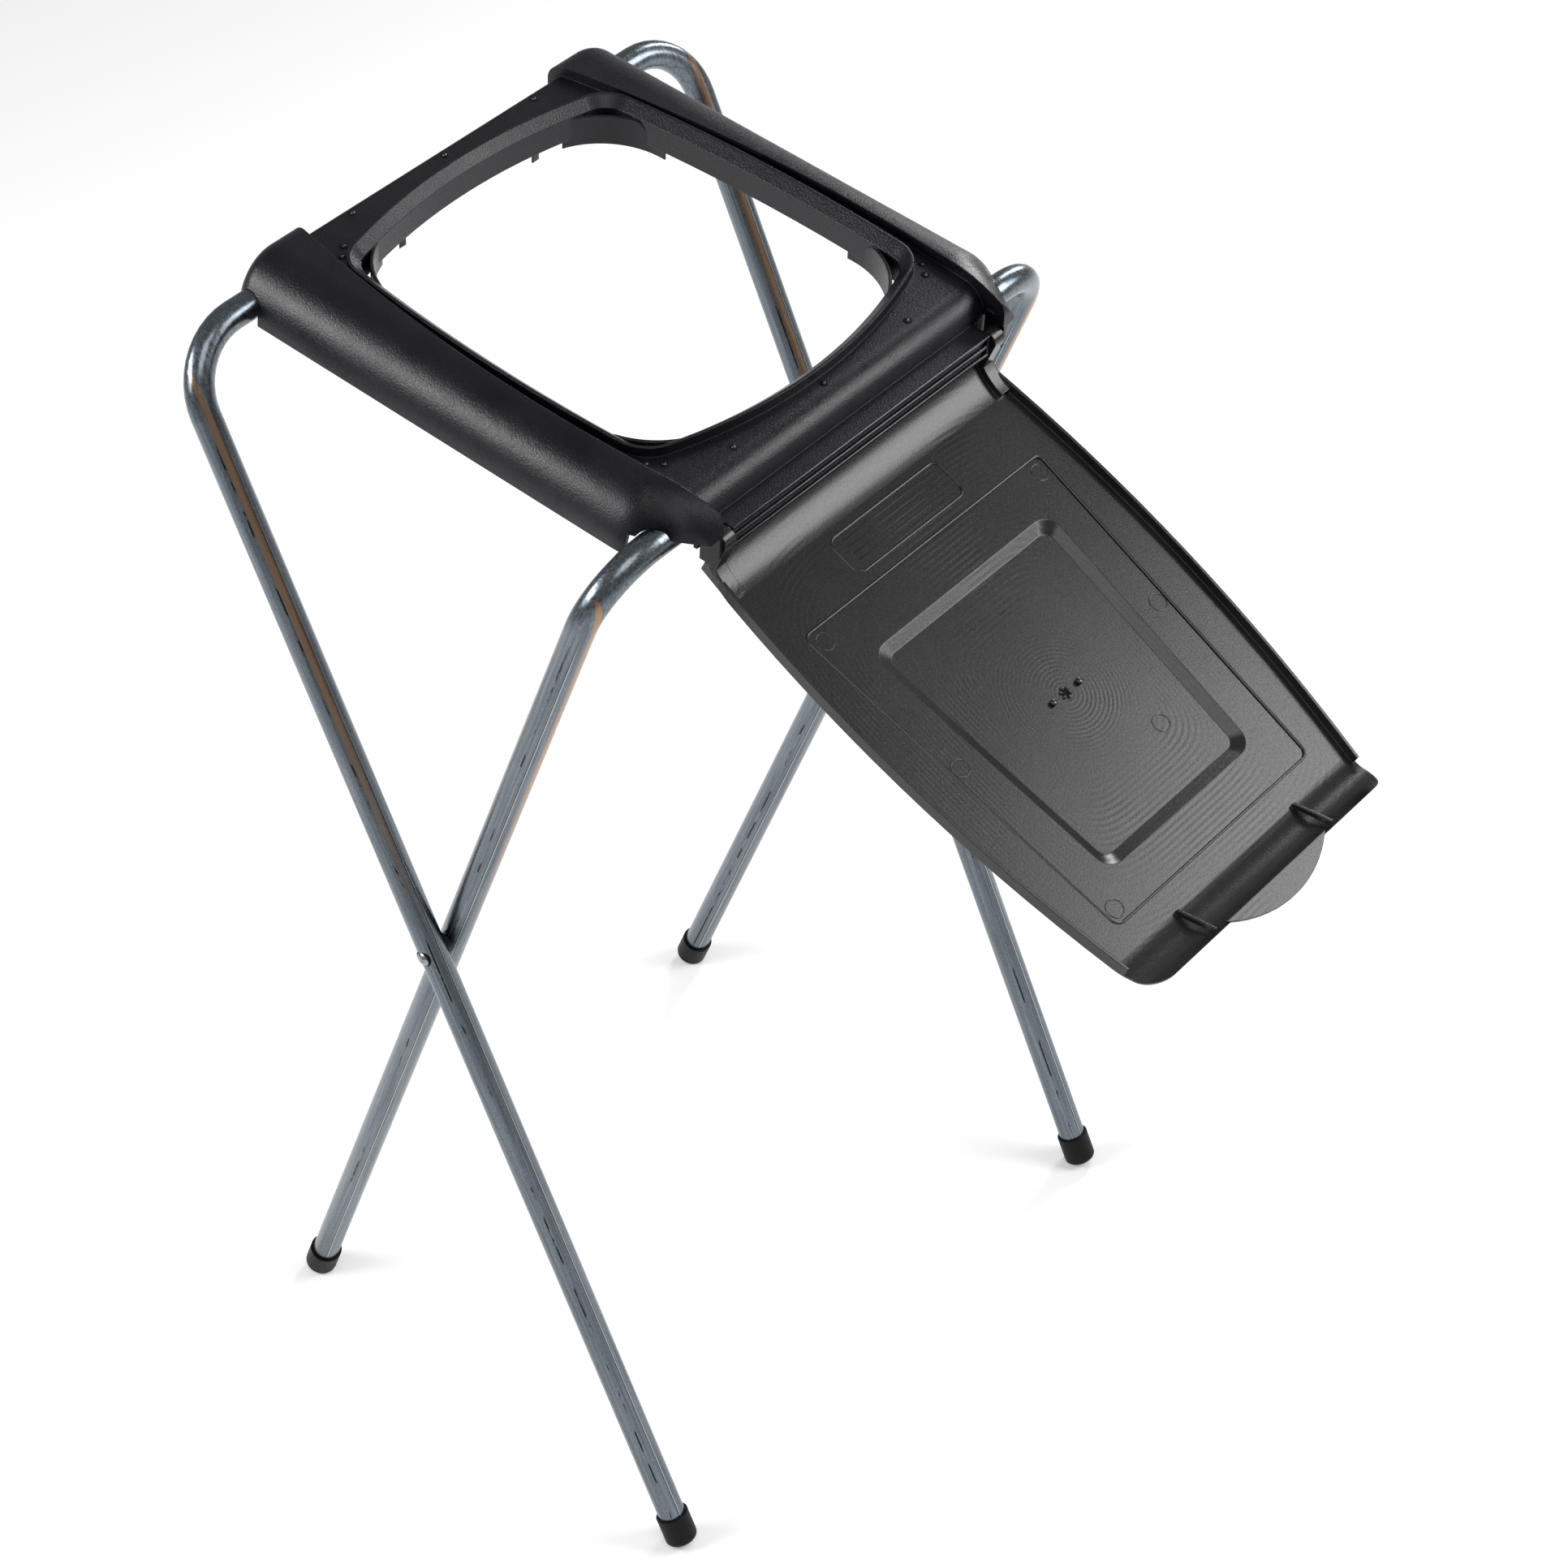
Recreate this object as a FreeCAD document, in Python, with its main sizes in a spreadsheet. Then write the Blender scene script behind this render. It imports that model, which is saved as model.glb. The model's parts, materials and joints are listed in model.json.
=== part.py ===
import FreeCAD, Part
import Sketcher
import math
import os

# Folding bin bag holder: two crossed steel leg frames, a moulded top frame with a bag mouth, and a moulded lid.
# Millimetres. X runs along the two cross bars, -Y is the front with the lid, +Z is up, the floor is at zero.
# The origin is on the floor, below the middle of the whole outline.

V = FreeCAD.Vector
doc = FreeCAD.newDocument("bin_bag_holder")

SIZES = [
    # Leg tubes
    ("tube_diameter", 19.0), ("tube_wall", 1.2), ("bend_radius", 45.0), ("leg_lean", 22.5),
    ("pivot_height", 454.6), ("outer_leg_offset", 226.3), ("leg_gap", 1.3),
    ("outer_bar_reach", 436.1), ("inner_bar_reach", 403.2),
    # Rivets and spacers at the crossing
    ("rivet_diameter", 5.0), ("rivet_clearance", 0.06), ("rivet_head_diameter", 9.6), ("rivet_dome", 2.2),
    ("spacer_diameter", 16.0), ("running_gap", 0.15),
    # Foot caps
    ("cap_diameter", 22.8), ("cap_length", 23.0), ("cap_floor", 3.0), ("cap_round", 4.0), ("cap_flat", 1.0),
    # Top frame, in its own plane: distances forward of the back bar, heights above the bars
    ("wall", 2.5), ("deck_top", 20.0), ("deck_thickness", 3.0),
    ("deck_back", 4.0), ("bevel_back", 9.0), ("bevel_height", 15.0), ("back_wall", 12.0), ("back_wall_top", 9.5),
    ("lower_edge", -10.0), ("front_round", 17.0),
    ("rail_outer", 170.0), ("rail_crown", 137.0), ("rail_top", 28.0), ("rail_back", 14.0), ("rail_dome", 13.0),
    ("rail_edge_back", 117.0), ("rail_edge_middle", 138.0), ("rail_edge_front", 131.5),
    ("rail_edge_middle_at", 220.0), ("rail_edge_front_at", 340.0),
    ("toe_start", 301.0), ("toe_angle", 32.0), ("toe_front", 351.0), ("toe_round", 8.0),
    ("toe_overlap", 12.0), ("toe_spare", 20.0),
    ("cutaway_start", 309.0), ("cutaway_height", 4.0),
    ("ear_back", 336.0), ("ear_bottom", -20.0), ("ear_corner", 8.0), ("ear_lap", 6.0),
    # Bag mouth
    ("mouth_back", 13.0), ("mouth_front", 311.0), ("mouth_corner_back_x", 121.5), ("mouth_corner_back_at", 32.0),
    ("mouth_corner_front_x", 128.0), ("mouth_corner_front_at", 285.5), ("mouth_side_x", 131.5),
    ("mouth_side_at", 190.0), ("mouth_corner_radius", 26.0),
    ("rim_top", 26.8), ("rim_lip", 2.0), ("rim_slope", 6.5), ("skirt_wall", 2.2), ("skirt_bottom", 3.0),
    # Bag clips: a strap across each mouth corner with a flap standing up from it, measured from the corner
    ("clip_wall", 2.2), ("clip_low", -2.5), ("clip_strap", 6.0), ("clip_top", 19.0), ("clip_round", 9.0),
    ("clip_span_x", 64.0), ("clip_span_at", 52.1), ("clip_middle_x", 18.4), ("clip_middle_at", 11.2),
    ("clip_flap_half", 28.5), ("clip_slot", 2.0), ("clip_floor", 1.5),
    # Bar seats under the deck
    ("seat_clearance", 0.06), ("seat_rib", 3.0), ("seat_depth", 6.0), ("front_seat_clearance", 0.5),
    ("seat_spread", 3.9), ("slot_lean", 27.0), ("notch_out", 10.0), ("notch_in", 20.0),
    ("back_rib_inner", 30.0), ("back_rib_middle", 90.0), ("back_rib_outer", 150.0),
    ("front_rib_inner", 35.0), ("front_rib_middle", 95.0), ("front_rib_outer", 146.0),
    # Hinge bar and pins
    ("hinge_bar_back", 334.8), ("hinge_bar_front", 349.1), ("hinge_bar_bottom", -13.0),
    ("hinge_bar_half", 120.0), ("hinge_bar_skin", 2.2), ("hinge_bar_step", 2.5),
    ("hinge_at", 346.5), ("hinge_height", -3.5), ("lug_space", 11.0), ("lug_gap", 0.9),
    ("hinge_pin_diameter", 6.0), ("hinge_pin_clearance", 0.08),
    # Lid, from its hinge axis: reach outwards, height above the axis when open
    ("lid_open", 27.2), ("lid_wall", 2.0), ("lid_drop", 30.7), ("lid_side_gap", 1.6),
    ("lid_roll_start", 27.0), ("lid_roll_radius", 41.0), ("lid_roll_end", -5.0),
    ("lid_lip_start", 333.0), ("lid_lip_radius", 29.9), ("lid_front", 360.0), ("lid_corner", 15.0),
    ("lid_flange", 6.5), ("lug_radius", 6.5), ("lug_arm", 4.5), ("lug_heel", 7.5),
    ("field_back", 69.4), ("field_front", 316.9), ("field_back_x", 112.0), ("field_front_x", 95.5),
    ("field_corner", 6.0), ("field_step", 0.8),
    ("recess_back", 100.0), ("recess_front", 291.5), ("recess_back_x", 87.0), ("recess_front_x", 72.5),
    ("recess_corner", 13.0), ("recess_depth", 4.5), ("recess_bevel", 9.0),
    ("insert_back", 33.0), ("insert_front", 60.0), ("insert_half", 50.5), ("insert_corner", 6.0),
    ("insert_step", 0.5),
    ("gusset_x", 58.5), ("gusset_wall", 2.0), ("gusset_start", 333.0), ("gusset_end", 357.0),
    ("gusset_low", 2.9), ("gusset_high", 17.0), ("gusset_edge", 4.0),
    ("tab_half", 50.0), ("tab_reach", 14.0), ("tab_wall", 2.0),
]

sheet = doc.addObject("Spreadsheet::Sheet", "sizes")
for row, (alias, number) in enumerate(SIZES, start=1):
    sheet.set("A%d" % row, alias)
    sheet.set("B%d" % row, str(number))
    sheet.setAlias("B%d" % row, alias)
doc.recompute()


def size(alias):
    return float(getattr(sheet, alias))


def sine(alias):
    return math.sin(math.radians(size(alias)))


def cosine(alias):
    return math.cos(math.radians(size(alias)))


# Places that follow from the sizes
TUBE = size("tube_diameter") / 2
OUTER_X = size("outer_leg_offset")
INNER_X = OUTER_X - size("tube_diameter") - size("leg_gap")
BACK_BAR = V(0, size("outer_bar_reach") * sine("leg_lean"),
             size("pivot_height") + size("outer_bar_reach") * cosine("leg_lean"))
FRONT_BAR = V(0, -size("inner_bar_reach") * sine("leg_lean"),
              size("pivot_height") + size("inner_bar_reach") * cosine("leg_lean"))
BAR_SPAN = (BACK_BAR - FRONT_BAR).Length
FRAME_TILT = math.degrees(math.atan2(BACK_BAR.z - FRONT_BAR.z, BACK_BAR.y - FRONT_BAR.y))
CAP_RADIUS = size("cap_diameter") / 2


def turned(angle):
    return FreeCAD.Rotation(V(1, 0, 0), angle)


FRAME_TURN = turned(FRAME_TILT)
HINGE = BACK_BAR + FRAME_TURN.multVec(V(0, -size("hinge_at"), size("hinge_height")))
LID_TURN = turned(size("lid_open"))
# The lowest point of a leaning cap with a rounded rim is pressed flat on the floor.
CAP_CORNER = CAP_RADIUS - size("cap_round")
CAP_DIP = CAP_CORNER * sine("leg_lean") + size("cap_round") * (1 - cosine("leg_lean"))
LEG_FOOT = (size("pivot_height") - CAP_DIP + size("cap_flat")) / cosine("leg_lean")
REAR = (LEG_FOOT - size("cap_round")) * sine("leg_lean") + CAP_CORNER * cosine("leg_lean") + size("cap_round")
ROLL_CENTRE = V(-size("lid_roll_start"), size("lid_roll_radius") - size("lid_drop"))
ROLL_ANGLE = math.asin((size("lid_roll_start") - size("lid_roll_end")) / size("lid_roll_radius"))
LIP_CENTRE = V(-size("lid_lip_start"), size("lid_lip_radius") - size("lid_drop"))
LIP_ANGLE = math.asin((size("lid_front") - size("lid_lip_start")) / size("lid_lip_radius"))
TAB_TOP = LIP_CENTRE.y - size("lid_lip_radius") * math.cos(LIP_ANGLE)
FRONT = (HINGE + LID_TURN.multVec(V(0, -size("lid_front") - size("tab_reach"), TAB_TOP))).y
MIDDLE = V(0, -(REAR + FRONT) / 2, 0)


def place(point, rotation=FreeCAD.Rotation()):
    return FreeCAD.Placement(point + MIDDLE, rotation)


# Helpers that make document objects
def link(item, prop, expression):
    item.setExpression(prop, expression)


def sketch(name, edges, position=V(0, 0, 0), rotation=FreeCAD.Rotation()):
    item = doc.addObject("Sketcher::SketchObject", name)
    item.Placement = FreeCAD.Placement(position, rotation)
    for edge in edges:
        item.addGeometry(edge, False)
    return item


ALONG_X = FreeCAD.Rotation(V(1, 1, 1), 120)
ALONG_Q = FreeCAD.Rotation(V(1, 0, 0), 90)


def extrusion(name, base, forward, backward=0.0):
    item = doc.addObject("Part::Extrusion", name)
    item.Base = base
    item.DirMode = "Normal"
    item.Solid = True
    for prop, length in (("LengthFwd", forward), ("LengthRev", backward)):
        if isinstance(length, str):
            link(item, prop, length)
        else:
            setattr(item, prop, length)
    return item


def loft(name, sections):
    item = doc.addObject("Part::Loft", name)
    item.Sections = sections
    item.Solid = True
    item.Ruled = True
    return item


def joined(name, items):
    item = doc.addObject("Part::MultiFuse", name)
    item.Shapes = items
    return item


def shared(name, items):
    item = doc.addObject("Part::MultiCommon", name)
    item.Shapes = items
    return item


def less(name, base, tool):
    item = doc.addObject("Part::Cut", name)
    item.Base = base
    item.Tool = tool
    return item


def rounded(name, base, radius, picks):
    doc.recompute()
    item = doc.addObject("Part::Fillet", name)
    item.Base = base
    edges = enumerate(base.Shape.Edges, start=1)
    item.Edges = [(number, radius, radius) for number, edge in edges if picks(edge)]
    return item


def rod(name, radius, length, position, axis=V(1, 0, 0)):
    item = doc.addObject("Part::Cylinder", name)
    for prop, length in (("Radius", radius), ("Height", length)):
        if isinstance(length, str):
            link(item, prop, length)
        else:
            setattr(item, prop, length)
    item.Placement = FreeCAD.Placement(position, FreeCAD.Rotation(V(0, 0, 1), axis))
    return item


def block(name, low, high):
    item = doc.addObject("Part::Box", name)
    item.Length = high.x - low.x
    item.Width = high.y - low.y
    item.Height = high.z - low.z
    item.Placement.Base = low
    return item


# Helpers that draw outlines
def lines(points, closed=True):
    ends = points[1:] + points[:1] if closed else points[1:]
    return [Part.LineSegment(start, end) for start, end in zip(points, ends)]


def arc(centre, radius, start, end):
    middle = ((start - centre).normalize() + (end - centre).normalize()).normalize()
    return Part.ArcOfCircle(start, centre + middle * radius, end)


def round_polygon(points, radius):
    edges = []
    starts = []
    ends = []
    for index, point in enumerate(points):
        before = (points[index - 1] - point).normalize()
        after = (points[(index + 1) % len(points)] - point).normalize()
        half = before.getAngle(after) / 2
        reach = radius / math.tan(half)
        centre = point + (before + after).normalize() * (radius / math.sin(half))
        starts.append(point + before * reach)
        ends.append(point + after * reach)
        edges.append(arc(centre, radius, starts[-1], ends[-1]))
    for index, start in enumerate(starts):
        edges.append(Part.LineSegment(ends[index - 1], start))
    order = [item for index in range(len(points)) for item in (edges[len(points) + index], edges[index])]
    return order


def tapered_outline(back, front, back_half, front_half, grow=0.0):
    slope = math.atan2(back_half - front_half, front - back)
    wider = grow / math.cos(slope)
    shift = grow * math.tan(slope)
    return [V(-back_half - wider - shift, -back + grow), V(back_half + wider + shift, -back + grow),
            V(front_half + wider - shift, -front - grow), V(-front_half - wider + shift, -front - grow)]


def cylinder_through(points):
    circle = Part.ArcOfCircle(*points)
    return circle.Center, circle.Radius


# Leg frames: one bent tube each, with a rivet hole through both legs
def leg_path(body, name, half, reach):
    path = body.newObject("Sketcher::SketchObject", name + "_path")
    path.AttachmentSupport = [(plane_of(body, "XZ_Plane"), "")]
    path.MapMode = "FlatFace"
    bend = size("bend_radius")
    low = -LEG_FOOT + size("cap_floor")
    corners = [V(-half, low), V(-half, reach - bend), V(-half + bend, reach),
               V(half - bend, reach), V(half, reach - bend), V(half, low)]
    path.addGeometry(Part.LineSegment(corners[0], corners[1]), False)
    path.addGeometry(arc(V(-half + bend, reach - bend), bend, corners[1], corners[2]), False)
    path.addGeometry(Part.LineSegment(corners[2], corners[3]), False)
    path.addGeometry(arc(V(half - bend, reach - bend), bend, corners[3], corners[4]), False)
    path.addGeometry(Part.LineSegment(corners[4], corners[5]), False)
    return path


def plane_of(body, role):
    return next(item for item in body.Origin.OriginFeatures if item.Role == role)


def leg_frame(name, half, reach, lean):
    body = doc.addObject("PartDesign::Body", name)
    path = leg_path(body, name, half, reach)
    ring = body.newObject("Sketcher::SketchObject", name + "_section")
    ring.AttachmentSupport = [(plane_of(body, "XY_Plane"), "")]
    ring.MapMode = "FlatFace"
    ring.AttachmentOffset = FreeCAD.Placement(V(0, 0, -LEG_FOOT + size("cap_floor")), FreeCAD.Rotation())
    for radius in (TUBE, TUBE - size("tube_wall")):
        ring.addGeometry(Part.Circle(V(-half, 0), V(0, 0, 1), radius), False)
    ring.addConstraint(Sketcher.Constraint("Coincident", 0, 3, 1, 3))
    ring.addConstraint(Sketcher.Constraint("Radius", 0, TUBE))
    ring.addConstraint(Sketcher.Constraint("Radius", 1, TUBE - size("tube_wall")))
    link(ring, "Constraints[1]", "sizes.tube_diameter / 2")
    link(ring, "Constraints[2]", "sizes.tube_diameter / 2 - sizes.tube_wall")
    doc.recompute()
    tube = body.newObject("PartDesign::AdditivePipe", name + "_tube")
    tube.Profile = ring
    tube.Spine = (path, ["Edge%d" % number for number in range(1, 6)])
    doc.recompute()
    hole = body.newObject("Sketcher::SketchObject", name + "_hole")
    hole.AttachmentSupport = [(plane_of(body, "YZ_Plane"), "")]
    hole.MapMode = "FlatFace"
    hole.addGeometry(Part.Circle(V(0, 0), V(0, 0, 1), size("rivet_diameter") / 2), False)
    hole.addConstraint(Sketcher.Constraint("Coincident", 0, 3, -1, 1))
    hole.addConstraint(Sketcher.Constraint("Radius", 0, size("rivet_diameter") / 2))
    link(hole, "Constraints[1]", "sizes.rivet_diameter / 2 + sizes.rivet_clearance")
    cut = body.newObject("PartDesign::Pocket", name + "_rivet_hole")
    cut.Profile = hole
    cut.Type = "ThroughAll"
    cut.Midplane = True
    body.Placement = place(V(0, 0, size("pivot_height")), turned(lean))
    return body


def rivet(name, side):
    outer_face = OUTER_X + TUBE
    inner_face = INNER_X - TUBE
    dome_radius = 0.5 * size("rivet_head_diameter") ** 2 / 4 / size("rivet_dome") + size("rivet_dome") / 2
    dome = doc.addObject("Part::Sphere", name + "_dome")
    dome.Radius = dome_radius
    dome.Placement.Base = V(outer_face + size("rivet_dome") - dome_radius, 0, 0)
    blank = rod(name + "_blank", "sizes.rivet_head_diameter / 2", "sizes.tube_diameter", V(OUTER_X, 0, 0))
    leg = rod(name + "_leg", "sizes.tube_diameter / 2", "sizes.tube_diameter * 2",
              V(OUTER_X, 0, -2 * TUBE), V(0, 0, 1))
    head = less(name + "_head", shared(name + "_cap", [dome, blank]), leg)
    foot_face = inner_face - size("running_gap")
    foot = rod(name + "_foot", "sizes.rivet_head_diameter / 2", "sizes.rivet_dome / 2",
               V(foot_face - size("rivet_dome") / 2, 0, 0))
    shank = rod(name + "_shank", "sizes.rivet_diameter / 2", "sizes.tube_diameter * 2 + sizes.leg_gap + 1",
                V(foot_face - 1 + size("running_gap"), 0, 0))
    whole = joined(name, [head, shank, foot])
    whole.Placement = place(V(0, 0, size("pivot_height")), crossing_turn(side))
    return whole


def crossing_turn(side):
    lean = turned(-size("leg_lean"))
    return lean if side > 0 else lean.multiply(FreeCAD.Rotation(V(0, 0, 1), 180))


def spacer(name, side):
    low = INNER_X + TUBE + size("running_gap")
    sleeve = rod(name + "_sleeve", "sizes.spacer_diameter / 2", "sizes.tube_diameter / 2", V(low, 0, 0))
    leg = rod(name + "_leg", "sizes.tube_diameter / 2", "sizes.tube_diameter * 2",
              V(OUTER_X, 0, -2 * TUBE), V(0, 0, 1))
    beyond = block(name + "_beyond", V(OUTER_X, -CAP_RADIUS, -CAP_RADIUS),
                   V(OUTER_X + 2 * TUBE, CAP_RADIUS, CAP_RADIUS))
    hole = rod(name + "_hole", "sizes.rivet_diameter / 2 + sizes.rivet_clearance", "sizes.tube_diameter",
               V(low - 1, 0, 0))
    whole = less(name, sleeve, joined(name + "_cuts", [leg, beyond, hole]))
    whole.Placement = place(V(0, 0, size("pivot_height")), crossing_turn(side))
    return whole


# Foot caps: a soft cup pushed over each tube end, with the floor's flat on its rim
def foot_cap(name, offset, lean):
    cup = rod(name + "_cup", "sizes.cap_diameter / 2", "sizes.cap_length", V(0, 0, 0), V(0, 0, 1))
    round_cup = rounded(name + "_round", cup, size("cap_round"),
                        lambda edge: edge.BoundBox.ZMax < size("cap_length") / 2 and len(edge.Vertexes) == 1)
    bore = rod(name + "_bore", "sizes.tube_diameter / 2", "sizes.cap_length",
               V(0, 0, size("cap_floor")), V(0, 0, 1))
    hollow = less(name + "_hollow", round_cup, bore)
    hollow.Placement = place(V(0, 0, size("pivot_height")), turned(lean)).multiply(
        FreeCAD.Placement(V(offset, 0, -LEG_FOOT), FreeCAD.Rotation()))
    floor = block(name + "_floor", V(-OUTER_X * 2, REAR * -3, -CAP_RADIUS), V(OUTER_X * 2, REAR * 3, 0))
    return less(name, hollow, floor)


# Top frame. Plan sketches hold x and minus the distance forward; side sketches hold minus that and the height.
def plan(x, forward):
    return V(x, -forward)


def side(forward, height):
    return V(-forward, height)


EDGE_CENTRE, EDGE_RADIUS = cylinder_through([
    plan(size("rail_edge_back"), 0), plan(size("rail_edge_middle"), size("rail_edge_middle_at")),
    plan(size("rail_edge_front"), size("rail_edge_front_at"))])
DEEP = -60.0
DOME_BACK = -size("rail_back")


def edge_point(forward, grow):
    rise = -forward - EDGE_CENTRE.y
    reach = math.sqrt((EDGE_RADIUS + grow) ** 2 - rise ** 2)
    return V(EDGE_CENTRE.x + reach, -forward)


def corner(before, point, after, radius):
    first = (before - point).normalize()
    second = (after - point).normalize()
    half = first.getAngle(second) / 2
    centre = point + (first + second).normalize() * (radius / math.sin(half))
    reach = radius / math.tan(half)
    start = point + first * reach
    end = point + second * reach
    return start, arc(centre, radius, start, end), end


def rail_plan(inset):
    back = DOME_BACK + inset
    front = size("toe_front") - inset
    outer = size("rail_outer") - inset
    inner_back = edge_point(back, inset)
    inner_front = edge_point(front, inset)
    angle = math.radians(size("toe_angle"))
    radius = size("rail_outer") - size("rail_crown")
    centre = plan(size("rail_crown"), size("toe_start"))
    turn_start = plan(outer, size("toe_start"))
    turn_end = centre + plan(math.cos(angle), math.sin(angle)) * (radius - inset)
    run = (front + turn_end.y) / math.cos(angle)
    nose = turn_end + plan(-math.sin(angle), math.cos(angle)) * run
    start, bend, end = corner(turn_end, nose, inner_front, size("toe_round") - inset)
    middle = (inner_back + inner_front) / 2 - EDGE_CENTRE
    bow = EDGE_CENTRE + middle.normalize() * (EDGE_RADIUS + inset)
    return [Part.ArcOfCircle(inner_back, bow, inner_front), Part.LineSegment(inner_front, end), bend,
            Part.LineSegment(start, turn_end), arc(centre, radius - inset, turn_end, turn_start),
            Part.LineSegment(turn_start, plan(outer, back)), Part.LineSegment(plan(outer, back), inner_back)]


def rail_section(inset, inner):
    crown = size("rail_crown")
    low = size("lower_edge")
    top = size("rail_top") - inset
    outer = size("rail_outer") - inset
    oval = Part.Ellipse(V(crown, top), V(outer, low), V(crown, low))
    points = [V(outer, low), V(outer, DEEP), V(inner, DEEP), V(inner, top), V(crown, top)]
    start = oval.parameter(V(outer, low))
    end = oval.parameter(V(crown, top))
    if (end - start) % (2 * math.pi) > math.pi:
        start, end = end, start
    curve = Part.ArcOfEllipse(oval, start, end)
    return lines(points if inner < crown else points[:-1], closed=False) + [curve]


def rail_barrel(name, inset):
    crown = size("rail_crown")
    turn_at = V(crown, -size("toe_start"), 0)
    back = V(0, -DOME_BACK - inset, 0)
    section = sketch(name + "_section", rail_section(inset, crown / 2), back, ALONG_Q)
    straight = extrusion(name + "_straight", section, size("toe_start") + back.y)
    domed = rounded(name + "_domed", straight, size("rail_dome") - inset,
                    lambda edge: at_back(edge, DOME_BACK + inset))
    bend = doc.addObject("Part::Revolution", name + "_bend")
    bend.Source = sketch(name + "_bend_section", rail_section(inset, crown), V(0, turn_at.y, 0), ALONG_Q)
    bend.Axis = V(0, 0, -1)
    bend.Base = turn_at
    link(bend, "Angle", "sizes.toe_angle")
    bend.Solid = True
    aside = FreeCAD.Placement(turn_at, FreeCAD.Rotation(V(0, 0, -1), size("toe_angle")))
    nose = aside.multiply(FreeCAD.Placement(V(-crown, 0, 0), ALONG_Q))
    turned_section = sketch(name + "_nose_section", rail_section(inset, crown - size("toe_overlap")), nose.Base,
                            nose.Rotation)
    ahead = extrusion(name + "_nose", turned_section, "sizes.toe_front - sizes.toe_start + sizes.toe_spare")
    return joined(name, [domed, bend, ahead])


def rail_side(inset):
    back = DOME_BACK + inset
    front = size("toe_front") - inset
    top = size("rail_top") - inset
    radius = size("front_round") - inset
    edges = [Part.LineSegment(side(back, top), side(front - radius, top)),
             arc(side(front - radius, top - radius), radius, side(front - radius, top), side(front, top - radius))]
    if inset:
        points = [side(front, top - radius), side(front, DEEP), side(back, DEEP), side(back, top)]
    else:
        points = [side(front, top - radius), side(front, size("cutaway_height")),
                  side(size("cutaway_start"), size("cutaway_height")),
                  side(size("cutaway_start"), size("lower_edge")), side(back, size("lower_edge")), side(back, top)]
    return edges + lines(points, closed=False)


def rail_block(name, inset):
    outline = extrusion(name + "_plan_solid", sketch(name + "_plan", rail_plan(inset), V(0, 0, DEEP)),
                        "sizes.rail_top * 4")
    profile = extrusion(name + "_side_solid", sketch(name + "_side", rail_side(inset), V(0, 0, 0), ALONG_X),
                        "sizes.rail_outer * 2")
    return shared(name, [rail_barrel(name + "_barrel", inset), outline, profile])


def at_back(edge, forward):
    box = edge.BoundBox
    flat = abs(box.YMin + forward) < 0.01 and abs(box.YMax + forward) < 0.01
    return flat and box.ZMin > DEEP + 1 or flat and box.XMin > size("rail_crown")


def mirrored(name, item):
    twin = doc.addObject("Part::Mirroring", name)
    twin.Source = item
    twin.Normal = V(1, 0, 0)
    return twin


def deck_side(inset):
    back = size("back_wall") - inset
    top = size("deck_top") - (size("deck_thickness") if inset else 0)
    front = size("hinge_bar_back") - inset
    centre_height = size("deck_top") - size("front_round")
    radius = top - centre_height
    bottom = DEEP if inset else size("hinge_bar_bottom")
    back_bottom = DEEP if inset else size("lower_edge")
    points = [side(front, centre_height), side(front, bottom), side(-back, back_bottom),
              side(-back, size("back_wall_top") - inset / 2),
              side(-size("bevel_back") + inset, size("bevel_height") - inset / 2),
              side(-size("deck_back") + inset / 2, top), side(front - radius, top)]
    curve = arc(side(front - radius, centre_height), radius, points[-1], points[0])
    return lines(points, closed=False) + [curve]


def deck_block(name, inset, half):
    return extrusion(name, sketch(name + "_side", deck_side(inset), V(0, 0, 0), ALONG_X), half, half)


def hinge_bar(name):
    back = size("hinge_bar_back") - size("hinge_bar_skin") / 2
    front = size("hinge_bar_front")
    face = front - size("hinge_bar_step")
    skin = size("hinge_bar_skin")
    top = size("deck_top") - size("front_round")
    low = size("hinge_bar_bottom")
    half = size("hinge_bar_half")
    middle = (top + low) / 2
    pieces = [block(name + "_web", V(-half, -face, low), V(half, skin - face, top)),
              block(name + "_top", V(-half, -front, top - skin), V(half, -back, top))]
    for number, height in enumerate((low, middle - skin / 2), start=1):
        pieces.append(block(name + "_step_%d" % number, V(-half, -front, height), V(half, -face, height + skin)))
    for label, start in (("left", -half), ("right", half - skin)):
        pieces.append(block(name + "_end_" + label, V(start, -front, low), V(start + skin, -back, top)))
    return joined(name, pieces)


def hinge_ear(name):
    back = size("ear_back")
    front = size("toe_front")
    low = size("ear_bottom")
    top = size("cutaway_height") + size("ear_lap")
    points = [side(back, top), side(back, low), side(front - size("ear_corner"), low),
              side(front, low + size("ear_corner")), side(front, top)]
    outline = sketch(name + "_side", lines(points), V(size("hinge_bar_half") + size("lug_space"), 0, 0),
                     ALONG_X)
    plate = extrusion(name + "_plate", outline, "sizes.wall")
    pin = rod(name + "_pin", "sizes.hinge_pin_diameter / 2", "sizes.lug_space + sizes.wall",
              V(size("hinge_bar_half") - size("hinge_bar_skin") / 2, -size("hinge_at"), size("hinge_height")))
    return joined(name, [plate, pin])


def bag_mouth_arcs():
    far = [plan(-size("mouth_corner_back_x"), size("mouth_corner_back_at")),
           plan(size("mouth_corner_back_x"), size("mouth_corner_back_at")),
           plan(size("mouth_corner_front_x"), size("mouth_corner_front_at")),
           plan(-size("mouth_corner_front_x"), size("mouth_corner_front_at"))]
    middles = [plan(0, size("mouth_back")), plan(size("mouth_side_x"), size("mouth_side_at")),
               plan(0, size("mouth_front")), plan(-size("mouth_side_x"), size("mouth_side_at"))]
    sides = [cylinder_through([far[index], middles[index], far[(index + 1) % 4]]) for index in range(4)]
    return far, sides


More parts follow.
